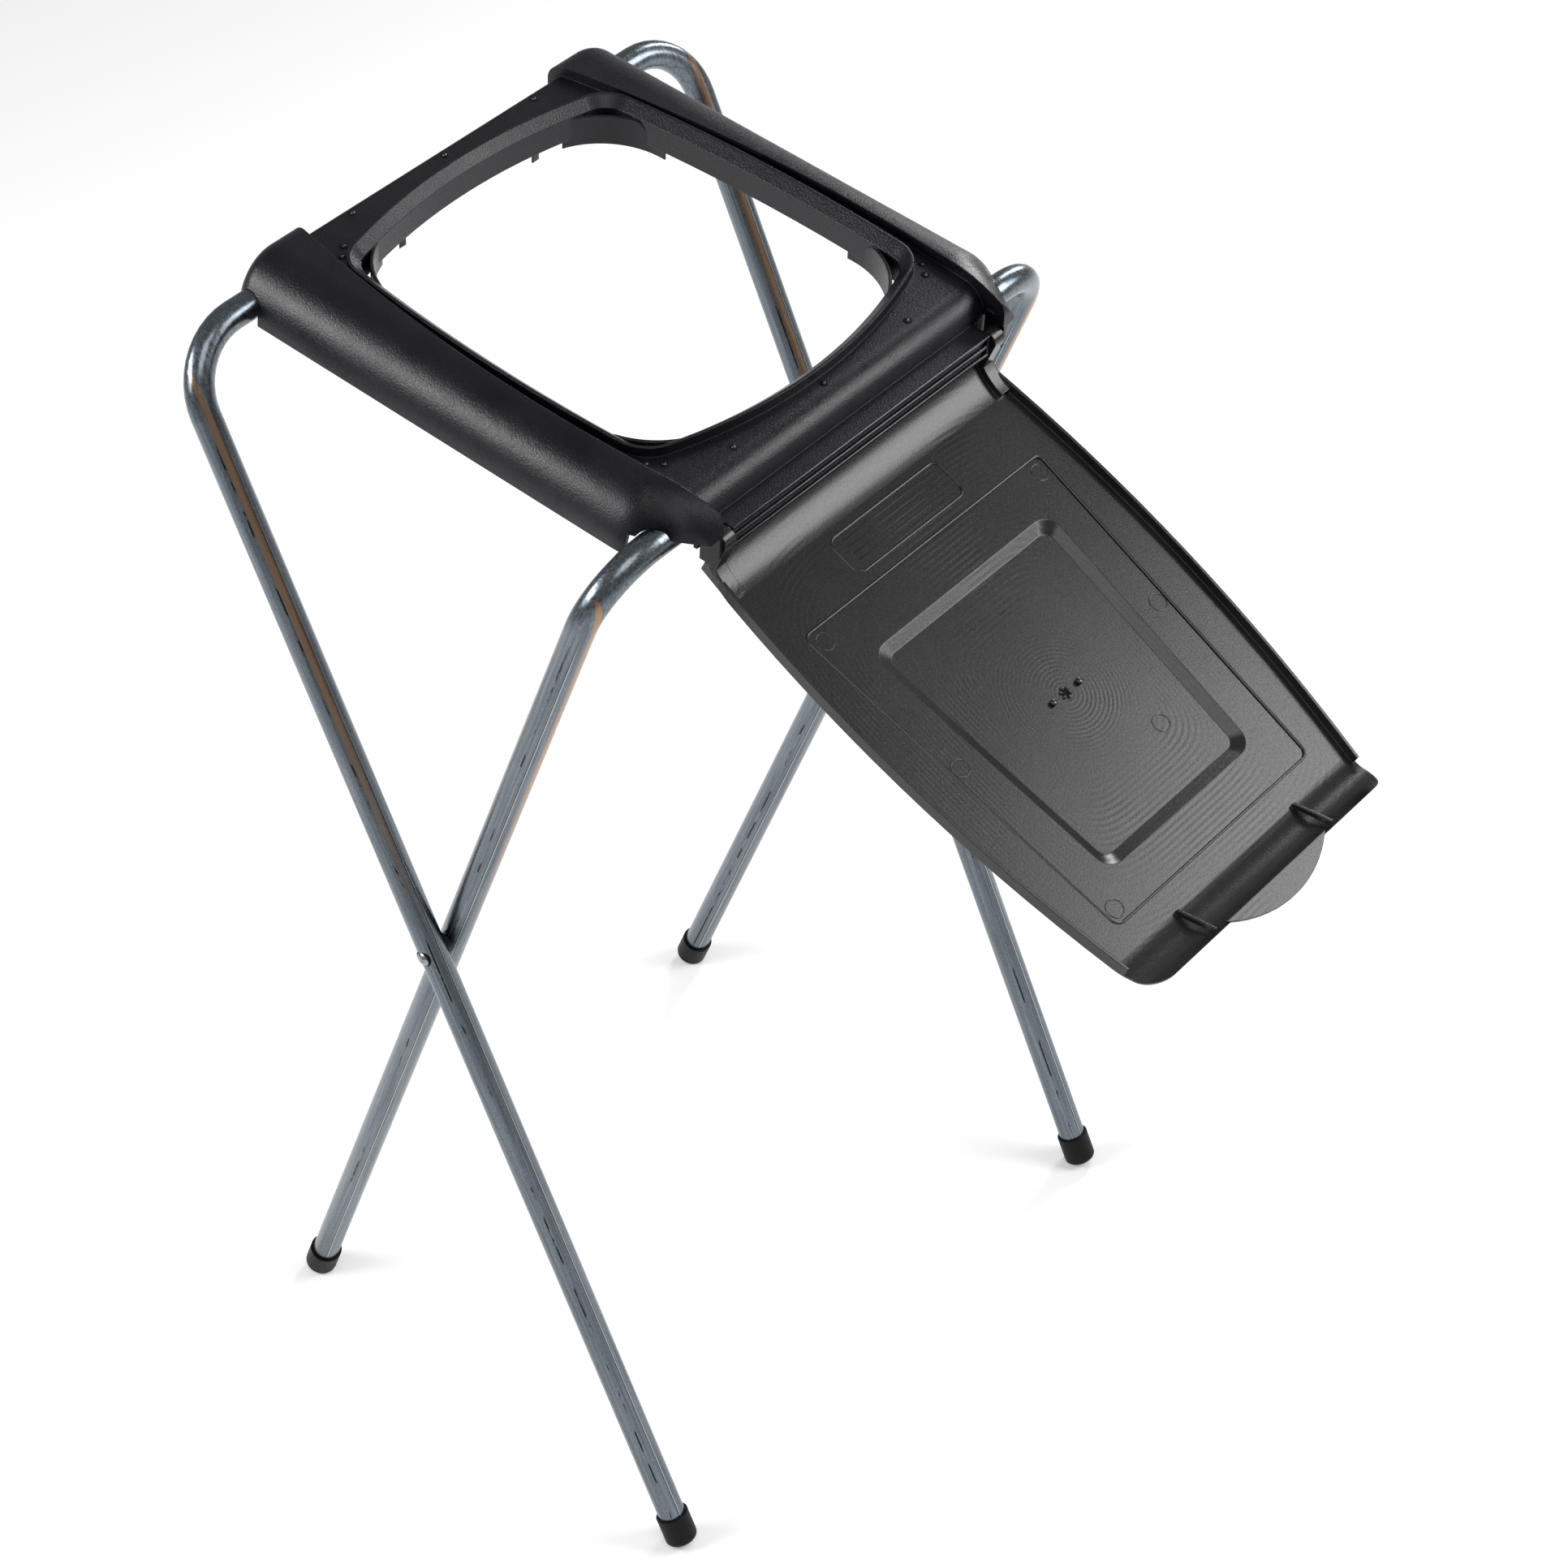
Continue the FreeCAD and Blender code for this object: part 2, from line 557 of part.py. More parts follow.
def circles_meet(first, first_radius, second, second_radius, near):
    gap = second - first
    along = (gap.Length ** 2 + first_radius ** 2 - second_radius ** 2) / (2 * gap.Length)
    across = math.sqrt(first_radius ** 2 - along ** 2)
    unit = gap.normalize()
    normal = V(-unit.y, unit.x)
    options = [first + unit * along + normal * across, first + unit * along - normal * across]
    return min(options, key=lambda point: (point - near).Length)


def mouth_outline(inset):
    far, sides = bag_mouth_arcs()
    radius = size("mouth_corner_radius")
    centres = []
    for index, point in enumerate(far):
        before, before_radius = sides[index - 1]
        after, after_radius = sides[index]
        centres.append(circles_meet(before, before_radius - radius, after, after_radius - radius, point))
    edges = []
    for index, centre in enumerate(centres):
        before, before_radius = sides[index - 1]
        after, after_radius = sides[index]
        start = before + (centre - before).normalize() * (before_radius - inset)
        end = after + (centre - after).normalize() * (after_radius - inset)
        following = centres[(index + 1) % 4]
        next_start = after + (following - after).normalize() * (after_radius - inset)
        edges.append(arc(centre, radius - inset, start, end))
        edges.append(arc(after, after_radius - inset, end, next_start))
    return edges


def mouth_prism(name, inset, low, high):
    return extrusion(name, sketch(name + "_outline", mouth_outline(inset), V(0, 0, low)), high - low)


def mouth_ring(name, inset, wall, low, high):
    return less(name, mouth_prism(name + "_out", inset, low, high),
                mouth_prism(name + "_in", inset + wall, low - 1, high + 1))


SKIRT_INSET = size("rim_lip") + size("rim_slope") - size("skirt_wall")
SLOPE_FOOT = size("rim_top") - size("rim_slope")


def mouth_rim(name):
    collar = mouth_prism(name + "_collar", 0, size("deck_top") - size("deck_thickness"), size("rim_top"))
    skirt = mouth_prism(name + "_skirt", SKIRT_INSET, size("skirt_bottom"), size("deck_top"))
    return joined(name, [collar, skirt])


def mouth_opening(name):
    inset = size("rim_lip") + size("rim_slope")
    shaft = mouth_prism(name + "_shaft", inset, size("skirt_bottom") - 1, SLOPE_FOOT)
    funnel = loft(name + "_funnel", [
        sketch(name + "_low", mouth_outline(inset), V(0, 0, SLOPE_FOOT)),
        sketch(name + "_high", mouth_outline(size("rim_lip")), V(0, 0, size("rim_top")))])
    return joined(name, [shaft, funnel])


def clip_arc(front):
    inset = size("rim_lip") + size("rim_slope")
    sides = bag_mouth_arcs()[1]
    label, turn = ("front", -1) if front else ("back", 1)
    corner_x = size("mouth_corner_%s_x" % label)
    corner_at = size("mouth_corner_%s_at" % label)
    middle = plan(corner_x - size("clip_middle_x"), corner_at + turn * size("clip_middle_at"))
    x = corner_x - size("clip_span_x")
    at = corner_at + turn * size("clip_span_at")
    long_side, long_radius = sides[2 if front else 0]
    short_side, short_radius = sides[1]
    on_end = V(x, long_side.y + turn * math.sqrt((long_radius - inset) ** 2 - (x - long_side.x) ** 2))
    on_side = V(short_side.x + math.sqrt((short_radius - inset) ** 2 - (at + short_side.y) ** 2), -at)
    zone = (x, *sorted((at, corner_at - turn * size("clip_span_at"))))
    return cylinder_through([on_end, middle, on_side]) + (middle, zone)


def clip_flap(name, centre, outward):
    half = size("clip_flap_half")
    low = size("clip_low")
    top = size("clip_top")
    radius = size("clip_round")
    shoulder = top - radius
    points = [V(-half + radius, top), V(half - radius, top), V(half, shoulder), V(half, low), V(-half, low),
              V(-half, shoulder)]
    edges = lines(points, closed=False)
    edges[1] = arc(V(half - radius, shoulder), radius, points[1], points[2])
    edges.append(arc(V(-half + radius, shoulder), radius, points[5], points[0]))
    across = V(-outward.y, outward.x)
    facing = FreeCAD.Rotation(across, V(0, 0, 1), outward, "ZXY")
    return extrusion(name, sketch(name + "_front", edges, centre, facing), size("rail_outer"))


def bag_clip(name, front):
    centre, radius, middle, (x, near, far) = clip_arc(front)
    low = size("clip_low")
    tall = size("clip_top") - low
    base = V(centre.x, centre.y, low)
    outer = rod(name + "_outer", radius + size("clip_wall"), tall, base, V(0, 0, 1))
    inner = rod(name + "_inner", radius, tall, base, V(0, 0, 1))
    ring = less(name + "_ring", outer, inner)
    flap = shared(name + "_flap", [ring, clip_flap(name + "_flap_form", centre, (middle - centre).normalize())])
    zone = block(name + "_zone", V(x, -far, low), V(size("rail_outer"), -near, low + size("clip_strap")))
    strap = shared(name + "_strap", [ring, zone])
    slot = size("rim_lip") + size("rim_slope") + size("clip_slot")
    bottom = mouth_prism(name + "_bottom", slot, low, low + size("clip_floor"))
    floor = less(name + "_floor", shared(name + "_corner", [bottom, zone]), outer)
    within = mouth_prism(name + "_within", SKIRT_INSET + size("skirt_wall") / 2, DEEP, size("rim_top"))
    return shared(name, [joined(name + "_whole", [flap, strap, floor]), within])


def bag_clips(name):
    right = [bag_clip("clip_back_right", False), bag_clip("clip_front_right", True)]
    left = [mirrored("clip_back_left", right[0]), mirrored("clip_front_left", right[1])]
    return joined(name, right + left)


def bar_slot(name):
    centre = side(BAR_SPAN, 0)
    radius = TUBE + size("front_seat_clearance")
    down = V(sine("slot_lean"), -cosine("slot_lean"))
    across = V(down.y, -down.x)
    first = centre + across * radius
    second = centre - across * radius
    run = down * (TUBE * 4)
    top = Part.ArcOfCircle(first, centre - down * radius, second)
    edges = [top] + lines([second, second + run, first + run, first], closed=False)
    return extrusion(name, sketch(name + "_side", edges, V(0, 0, 0), ALONG_X), "sizes.rail_outer", "sizes.rail_outer")


def seat_ribs(name, at, places, low):
    reach = TUBE + size("seat_spread")
    ribs = []
    for alias in places:
        for label, hand in (("left", -1), ("right", 1)):
            middle = hand * size(alias)
            ribs.append(block("%s_%s" % (alias, label),
                              V(middle - size("seat_rib") / 2, -at - reach, low),
                              V(middle + size("seat_rib") / 2, -at + reach, size("rail_top"))))
    return joined(name, ribs)


def top_frame():
    right = rail_block("rail", 0)
    right_hollow = rail_block("rail_hollow", size("wall"))
    deck = deck_block("deck", 0, "sizes.rail_edge_middle + 1")
    outer = joined("frame_outer", [right, mirrored("rail_left", right), deck])
    hollow = joined("frame_hollow", [right_hollow, mirrored("rail_hollow_left", right_hollow),
                                     deck_block("deck_hollow", size("wall"), "sizes.rail_edge_middle + 6")])
    ribs = joined("seat_ribs", [
        seat_ribs("back_seat", 0, ("back_rib_inner", "back_rib_middle", "back_rib_outer"), -size("seat_depth")),
        seat_ribs("front_seat", BAR_SPAN, ("front_rib_inner", "front_rib_middle", "front_rib_outer"),
                  -size("seat_depth"))])
    solid_ribs = shared("trimmed_ribs", [ribs, outer])
    shell = joined("frame_shell", [less("frame_open", outer, hollow), solid_ribs])
    bore = rod("back_bar_bore", "sizes.tube_diameter / 2 + sizes.seat_clearance",
               "sizes.rail_outer * 2 + sizes.notch_out * 2", V(-size("rail_outer") - size("notch_out"), 0, 0))
    notch = size("notch_in") + size("notch_out")
    notches = [block("back_notch_%s" % label, V(start, -TUBE, DEEP), V(start + notch, TUBE, 0))
               for label, start in (("left", -size("rail_outer") - size("notch_out")),
                                    ("right", size("rail_outer") - size("notch_in")))]
    cleared = less("frame_cleared", shell, joined("bar_space", [bore, bar_slot("bar_slot")] + notches))
    ear = hinge_ear("hinge_ear_right")
    rimmed = joined("frame_rimmed", [cleared, mouth_rim("mouth_rim"), hinge_bar("hinge_bar"), ear,
                                     mirrored("hinge_ear_left", ear)])
    opened = less("frame_with_mouth", rimmed, mouth_opening("mouth_opening"))
    whole = joined("top_frame", [opened, bag_clips("bag_clips")])
    whole.Placement = place(BACK_BAR, FRAME_TURN)
    return whole


# Lid. Plan sketches hold x and minus the reach from the hinge; side sketches hold minus the reach and the height.
def lid_half(reach, grow):
    return edge_point(size("hinge_at") - reach, -size("lid_side_gap") + grow).x


def lid_plan(grow):
    back = size("lid_roll_end") - 1
    front = size("lid_front") + grow
    bow_at = size("lid_front") / 2
    turn_at = size("lid_front") - size("lid_corner")
    start = V(lid_half(back, grow), -back)
    bow = V(lid_half(bow_at, grow), -bow_at)
    turn = V(lid_half(turn_at, grow), -turn_at)
    radius = size("lid_corner") + grow
    nose = V(turn.x - radius, -front)
    curve = arc(V(turn.x - radius, -front + radius), radius, turn, nose)
    flip = [V(-point.x, point.y) for point in (start, bow, turn, nose)]
    flipped = arc(V(-turn.x + radius, -front + radius), radius, flip[3], flip[2])
    return [Part.ArcOfCircle(start, bow, turn), curve, Part.LineSegment(nose, flip[3]), flipped,
            Part.ArcOfCircle(flip[2], flip[1], flip[0]), Part.LineSegment(flip[0], start)]


def lid_curve(grow):
    roll_radius = size("lid_roll_radius") + grow
    lip_radius = size("lid_lip_radius") + grow
    roll_tip = ROLL_CENTRE + V(math.sin(ROLL_ANGLE), -math.cos(ROLL_ANGLE)) * roll_radius
    lip_tip = LIP_CENTRE + V(-math.sin(LIP_ANGLE), -math.cos(LIP_ANGLE)) * lip_radius
    roll_foot = ROLL_CENTRE - V(0, roll_radius)
    lip_foot = LIP_CENTRE - V(0, lip_radius)
    return [roll_tip, roll_foot, lip_foot, lip_tip], [
        arc(ROLL_CENTRE, roll_radius, roll_tip, roll_foot), Part.LineSegment(roll_foot, lip_foot),
        arc(LIP_CENTRE, lip_radius, lip_foot, lip_tip)]


def lid_sheet(name):
    inner_points, inner = lid_curve(0)
    outer_points, outer = lid_curve(size("lid_wall"))
    edges = inner + outer + [Part.LineSegment(inner_points[0], outer_points[0]),
                             Part.LineSegment(inner_points[3], outer_points[3])]
    profile = sketch(name + "_side", ordered(edges), V(0, 0, 0), ALONG_X)
    return extrusion(name, profile, "sizes.rail_outer", "sizes.rail_outer")


def ordered(edges):
    shapes = [edge.toShape() for edge in edges]
    wire = Part.Wire(Part.__sortEdges__(shapes))
    return [as_curve(edge) for edge in wire.OrderedEdges]


def as_curve(edge):
    ends = [edge.valueAt(edge.FirstParameter), edge.valueAt(edge.LastParameter)]
    if isinstance(edge.Curve, Part.Line):
        return Part.LineSegment(*ends)
    middle = edge.valueAt((edge.FirstParameter + edge.LastParameter) / 2)
    return Part.ArcOfCircle(ends[0], middle, ends[1])


def lid_flange(name):
    low = -size("lid_drop") - size("lid_wall") / 2
    top = -size("lid_drop") + size("lid_flange")
    out = extrusion(name + "_out", sketch(name + "_out_plan", lid_plan(0), V(0, 0, low)), top - low)
    gap = extrusion(name + "_in", sketch(name + "_in_plan", lid_plan(-size("lid_wall")), V(0, 0, low - 1)),
                    top - low + 2)
    ring = less(name + "_ring", out, gap)
    start = size("lid_roll_end") + size("lid_wall") * 2
    end = size("lid_lip_start") + size("lid_flange")
    run = block(name + "_run", V(-size("rail_outer"), -end, low), V(size("rail_outer"), -start, top))
    return shared(name, [ring, run])


def lid_lug(name):
    low = size("hinge_bar_half") + size("lug_gap")
    width = "sizes.lug_space - 2 * sizes.lug_gap"
    boss = rod(name + "_boss", "sizes.lug_radius", width, V(low, 0, 0))
    points, curves = lid_curve(size("lid_wall") / 2)
    neck_radius = size("lid_roll_radius") - size("lug_arm")
    neck_start = ROLL_CENTRE - V(0, neck_radius)
    heel_angle = math.asin((size("lid_roll_start") - size("lug_heel")) / neck_radius)
    neck_end = ROLL_CENTRE + V(math.sin(heel_angle), -math.cos(heel_angle)) * neck_radius
    neck = arc(ROLL_CENTRE, neck_radius, neck_start, neck_end)
    radius = size("lug_radius")
    uprights = lines([neck_end, V(-radius, 0), V(radius, 0), points[0]], closed=False)
    edges = [curves[0], Part.LineSegment(points[1], neck_start), neck] + uprights
    arm = extrusion(name + "_arm", sketch(name + "_side", ordered(edges), V(low, 0, 0), ALONG_X), width)
    return joined(name, [boss, arm])


def field(name, aliases, grow, depth_low, depth_high):
    back, front, back_x, front_x, corner_name = aliases
    points = tapered_outline(size(back), size(front), size(back_x), size(front_x), grow)
    radius = size(corner_name) + grow
    outline = sketch(name + "_plan", round_polygon(points, radius), V(0, 0, depth_low))
    return extrusion(name, outline, depth_high - depth_low)


RECESS = ("recess_back", "recess_front", "recess_back_x", "recess_front_x", "recess_corner")
FIELD = ("field_back", "field_front", "field_back_x", "field_front_x", "field_corner")


def recess_form(name, grow, top, depth):
    outlines = []
    for label, shrink, height in (("high", 0.0, top), ("low", size("recess_bevel"), top - depth)):
        points = tapered_outline(*[size(alias) for alias in RECESS[:4]], grow - shrink)
        outlines.append(sketch("%s_%s" % (name, label),
                               round_polygon(points, size("recess_corner") + grow - shrink * 0.6), V(0, 0, height)))
    return loft(name, outlines)


def lid_gussets(name):
    drop = -size("lid_drop")
    high = drop + size("gusset_high")
    points = [side(size("gusset_start"), drop + size("gusset_low")), side(size("gusset_end"), high),
              side(size("gusset_end"), high - size("gusset_edge")),
              side(size("gusset_start"), drop - size("lid_wall") / 2)]
    pieces = []
    for label, x in (("left", -size("gusset_x")), ("right", size("gusset_x"))):
        outline = sketch("%s_%s_side" % (name, label), lines(points), V(x - size("gusset_wall") / 2, 0, 0), ALONG_X)
        pieces.append(extrusion("%s_%s" % (name, label), outline, "sizes.gusset_wall"))
    return joined(name, pieces)


def finger_tab(name):
    half = size("tab_half")
    base = -size("lid_front") + size("lid_wall")
    tip = V(0, -size("lid_front") - size("tab_reach"))
    points = [V(-half, base), V(half, base)]
    outline = [Part.LineSegment(points[0], points[1]), Part.ArcOfCircle(points[1], tip, points[0])]
    return extrusion(name, sketch(name + "_plan", outline, V(0, 0, TAB_TOP - size("tab_wall"))), "sizes.tab_wall")


def lid():
    drop = -size("lid_drop")
    sheet_piece = shared("lid_panel", [
        lid_sheet("lid_sheet"),
        extrusion("lid_outline_solid", sketch("lid_outline", lid_plan(0), V(0, 0, DEEP)), "sizes.rail_top * 4")])
    back = recess_form("recess_back_form", size("lid_wall") * 0.8, drop - size("lid_wall") * 0.9, size("recess_depth"))
    body = joined("lid_solid", [sheet_piece, lid_flange("lid_flange_wall"), back])
    cuts = joined("lid_cuts", [
        field("field_cut", FIELD, 0.0, drop - size("field_step"), drop + 1),
        recess_form("recess_cut", 0.0, drop, size("recess_depth")),
        extrusion("insert_cut", sketch("insert_plan", round_polygon([
            plan(-size("insert_half"), size("insert_back")), plan(size("insert_half"), size("insert_back")),
            plan(size("insert_half"), size("insert_front")), plan(-size("insert_half"), size("insert_front"))],
            size("insert_corner")), V(0, 0, drop - size("insert_step"))), "sizes.insert_step + 1")])
    lug = lid_lug("lid_lug_right")
    bored = less("lid_bored", joined("lid_with_lugs", [less("lid_cut", body, cuts), lug,
                                                       mirrored("lid_lug_left", lug), lid_gussets("gussets"),
                                                       finger_tab("finger_tab")]),
                 rod("lid_pin_bore", "sizes.hinge_pin_diameter / 2 + sizes.hinge_pin_clearance",
                     "sizes.rail_outer * 2", V(-size("rail_outer"), 0, 0)))
    bored.Label = "lid"
    bored.Placement = place(HINGE, LID_TURN)
    return bored


def build():
    lean = size("leg_lean")
    parts = [leg_frame("outer_leg_frame", OUTER_X, size("outer_bar_reach"), -lean),
             leg_frame("inner_leg_frame", INNER_X, size("inner_bar_reach"), lean)]
    for label, hand in (("left", -1), ("right", 1)):
        parts.append(rivet("rivet_" + label, hand))
        parts.append(spacer("spacer_" + label, hand))
        parts.append(foot_cap("foot_cap_front_" + label, hand * OUTER_X, -lean))
        parts.append(foot_cap("foot_cap_back_" + label, hand * INNER_X, lean))
    parts.append(top_frame())
    parts.append(lid())
    return parts


def check(parts):
    doc.recompute()
    for item in doc.Objects:
        if "Invalid" in item.State or "Error" in item.State:
            raise RuntimeError("%s did not build: %s" % (item.Name, item.State))
    for item in parts:
        if item.Shape.isNull() or not item.Shape.isValid():
            raise RuntimeError("%s has no sound shape" % item.Label)


def write(parts):
    os.makedirs("parts", exist_ok=True)
    for item in parts:
        item.Shape.exportStep("parts/%s.step" % item.Label)
        box = item.Shape.BoundBox
        print("%-24s solids %d volume %10.1f  x %.1f %.1f  y %.1f %.1f  z %.1f %.1f" % (
            item.Label, len(item.Shape.Solids), item.Shape.Volume,
            box.XMin, box.XMax, box.YMin, box.YMax, box.ZMin, box.ZMax))


PARTS = build()
check(PARTS)
write(PARTS)
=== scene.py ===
# %% [markdown]
# A folding bin bag holder. Two steel tube frames cross like scissors and are riveted together. Their two
# cross bars carry a moulded black frame with the bag mouth, and a grey moulded lid hangs open from its
# front edge. The measured solids come first, and everything else in this lesson is placed from them.

# %% Load the measured frame
import json
import math

import bmesh
import bpy
from mathutils import Matrix, Vector


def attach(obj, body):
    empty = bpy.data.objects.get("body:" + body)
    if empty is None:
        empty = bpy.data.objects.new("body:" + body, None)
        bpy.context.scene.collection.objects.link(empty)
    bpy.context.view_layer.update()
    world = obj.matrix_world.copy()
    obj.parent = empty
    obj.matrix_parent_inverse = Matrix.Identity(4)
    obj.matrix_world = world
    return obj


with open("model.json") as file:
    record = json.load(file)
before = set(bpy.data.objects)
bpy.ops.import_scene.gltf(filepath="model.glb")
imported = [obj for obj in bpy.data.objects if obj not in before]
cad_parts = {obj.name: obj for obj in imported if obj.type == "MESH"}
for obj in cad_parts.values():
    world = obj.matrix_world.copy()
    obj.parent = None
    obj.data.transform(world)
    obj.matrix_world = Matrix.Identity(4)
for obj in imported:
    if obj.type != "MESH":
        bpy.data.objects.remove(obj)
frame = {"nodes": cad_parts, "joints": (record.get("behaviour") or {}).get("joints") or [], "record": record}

nodes = frame["nodes"]
joints = {joint["name"]: joint for joint in frame["joints"]}
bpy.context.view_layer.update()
MM = 0.001
print("nodes:", ", ".join(sorted(nodes)))

# %% [markdown]
# The moulded frame leans forward a little, the open lid hangs steeper, and the legs lean to both sides of
# the rivets. Each piece has a plane of its own. The joints give the exact places of the back bar, the lid's
# hinge and the rivets, so a small matrix for each plane turns distances on that piece into a place in the
# room. Lengths are in millimetres until then.

# %% Planes of the moulded frame, the lid and the legs
BACK_BAR = Vector(joints["top_tilt"]["pos_m"])
LID_HINGE = Vector(joints["lid_hinge"]["pos_m"])
RIVETS = Vector(joints["leg_fold"]["pos_m"])
FRAME_TILT = math.radians(5.406)
LID_TILT = math.radians(27.2)
LEG_LEAN = math.radians(22.5)
OUTER_LEGS_AT = 226.3
INNER_LEGS_AT = 206.0
OUTER_BAR_REACH = 436.1
INNER_BAR_REACH = 403.2
TUBE_RADIUS = 9.5
BEND_RADIUS = 45.0


def on_plane(origin, tilt, across, forward, height):
    flat = Matrix.Translation(Vector((across, -forward, height)) * MM)
    return Matrix.Translation(origin) @ Matrix.Rotation(tilt, 4, "X") @ flat


def on_frame(across, forward, height):
    return on_plane(BACK_BAR, FRAME_TILT, across, forward, height)


def on_lid(across, reach, height):
    return on_plane(LID_HINGE, LID_TILT, across, reach, height)


print("back bar", [round(value, 4) for value in BACK_BAR])
print("lid hinge", [round(value, 4) for value in LID_HINGE])

# %% [markdown]
# The camera stands high to the front left, at the viewpoint of the photograph. A long lens keeps the legs
# nearly parallel, and the lens shift puts the object where it stands in the picture without turning the
# camera.

# %% Camera
CAMERA_PLACE = (-1.49382, -1.29495, 2.33107)
CAMERA_RIGHT = Vector((0.63850, -0.76943, -0.01723))
CAMERA_DOWN = Vector((-0.50238, -0.39973, -0.76670))
CAMERA_LOOK = Vector((0.58303, 0.49819, -0.64177))

camera_data = bpy.data.cameras.new("camera")
camera = bpy.data.objects.new("camera", camera_data)
bpy.context.scene.collection.objects.link(camera)
bpy.context.scene.camera = camera
turn = Matrix((CAMERA_RIGHT, -CAMERA_DOWN, -CAMERA_LOOK)).transposed()
camera.matrix_world = Matrix.Translation(CAMERA_PLACE) @ turn.to_4x4()
camera_data.sensor_width = 36.0
camera_data.lens = 95.21
camera_data.shift_x = -0.0472
camera_data.shift_y = -0.1145
print("camera at", [round(value, 3) for value in camera.location], "lens", camera_data.lens)

# %% [markdown]
# Colours are picked as sRGB hex values, the way a colour picker shows them, and the renderer wants linear
# light. One function turns the first into the second. One more adds a shader node with its settings and
# links: an input is a plain value, a socket, or a whole node, which stands for its first output.

# %% Helpers for materials
def colour(code):
    parts = [int(code[place:place + 2], 16) / 255 for place in (1, 3, 5)]
    linear = [part / 12.92 if part <= 0.04045 else ((part + 0.055) / 1.055) ** 2.4 for part in parts]
    return (*linear, 1.0)


def add(tree, kind, inputs=None, stops=(), **settings):
    node = tree.nodes.new("ShaderNode" + kind)
    for name, value in settings.items():
        setattr(node, name, value)
    for socket, value in (inputs or {}).items():
        source = value.outputs[0] if isinstance(value, bpy.types.Node) else value
        if isinstance(source, bpy.types.NodeSocket):
            tree.links.new(source, node.inputs[socket])
        else:
            node.inputs[socket].default_value = source
    for index, (position, code) in enumerate(stops):
        if index > 1:
            node.color_ramp.elements.new(position)
        node.color_ramp.elements[index].position = position
        node.color_ramp.elements[index].color = colour(code)
    return node


def new_material(name):
    material = bpy.data.materials.new(name)
    material.use_nodes = True
    material.node_tree.nodes.clear()
    return material, material.node_tree


def per_mm(size_mm):
    return 1.0 / (size_mm * MM)


print("hex #808080 is", round(colour("#808080")[0], 3), "in linear light")

# %% [markdown]
# The legs are thin steel tube, rolled from strip, welded along one line and plated with zinc that has dulled
# to a blue grey. The rolls leave faint streaks along the tube, the weld is a fine dark line, and beside it
# the tool skips and leaves a row of dark dashes. All of that runs along the tube, so the pattern needs
# coordinates that do too: a Mapping node leans them with the leg, and an arc tangent gives the angle round
# the tube. A line along the tube is then everything close to one angle.

# %% Coordinates along a leaning tube
LINE_CORE = 0.5


def along_tube(tree, lean, legs_at):
    upright = Matrix.Rotation(lean, 3, "X")
    place = add(tree, "Mapping", {"Vector": add(tree, "TexCoord").outputs["Object"],
                                  "Location": -(upright @ RIVETS), "Rotation": (lean, 0.0, 0.0)})
    axes = add(tree, "SeparateXYZ", {"Vector": place}).outputs
    side = add(tree, "Math", {0: axes["X"]}, operation="SIGN")
    leg = add(tree, "Math", {0: side, 1: legs_at * MM}, operation="MULTIPLY")
    from_leg = add(tree, "Math", {0: axes["X"], 1: leg}, operation="SUBTRACT")
    angle = add(tree, "Math", {0: axes["Y"], 1: from_leg}, operation="ARCTAN2")
    return place, angle, axes["Z"]


def line_at(tree, angle, middle, half_width):
    beside = add(tree, "Math", {0: angle, 1: middle}, operation="SUBTRACT")
    away = add(tree, "Math", {0: beside}, operation="ABSOLUTE")
    edge = half_width / TUBE_RADIUS
    return add(tree, "MapRange", {"Value": away, "From Min": edge, "From Max": edge * LINE_CORE})


print("a line 1 mm wide is", round(math.degrees(1.0 / TUBE_RADIUS), 1), "degrees of the tube")

# %% [markdown]
# Up close the plating is never even. Noise that is drawn out fifty times along the tube gives the streaks of
# the rolls, and the same noise left round gives a fine mottle between them. Another noise, cut off sharply,
# says where the tool skipped.

# %% Streaks, mottle and weld marks
STREAK_WIDTH = 1.6
DRAWN_OUT = (1.0, 1.0, 0.02)
MOTTLE_SIZE = 1.4
STREAK_SHARE = 0.65
DASH_SPACING = 14.0
DASH_STRETCH = (3.0, 3.0, 0.7)
DASH_HALF_WIDTH = 0.7
WELD_HALF_WIDTH = 0.28
WELD_DARKNESS = 0.85


def rolled_streaks(tree, place):
    drawn = add(tree, "Mapping", {"Vector": place, "Scale": DRAWN_OUT})
    streaks = add(tree, "TexNoise", {"Vector": drawn, "Scale": per_mm(STREAK_WIDTH), "Detail": 5.0,
                                     "Roughness": 0.6})
    mottle = add(tree, "TexNoise", {"Vector": place, "Scale": per_mm(MOTTLE_SIZE), "Detail": 4.0,
                                    "Roughness": 0.65})
    most = add(tree, "Math", {0: streaks, 1: STREAK_SHARE}, operation="MULTIPLY")
    rest = add(tree, "Math", {0: mottle, 1: 1.0 - STREAK_SHARE}, operation="MULTIPLY")
    return add(tree, "Math", {0: most, 1: rest}, operation="ADD")


def weld_marks(tree, place, angle, weld, dashes):
    stretched = add(tree, "Mapping", {"Vector": place, "Scale": DASH_STRETCH})
    skips = add(tree, "TexNoise", {"Vector": stretched, "Scale": per_mm(DASH_SPACING), "Detail": 3.0})
    worn = add(tree, "MapRange", {"Value": skips, "From Min": 0.53, "From Max": 0.58})
    row = line_at(tree, angle, dashes, DASH_HALF_WIDTH)
    dash = add(tree, "Math", {0: row, 1: worn}, operation="MULTIPLY")
    line = line_at(tree, angle, weld, WELD_HALF_WIDTH)
    seam = add(tree, "Math", {0: line, 1: WELD_DARKNESS}, operation="MULTIPLY")
    return add(tree, "Math", {0: dash, 1: seam}, operation="MAXIMUM")


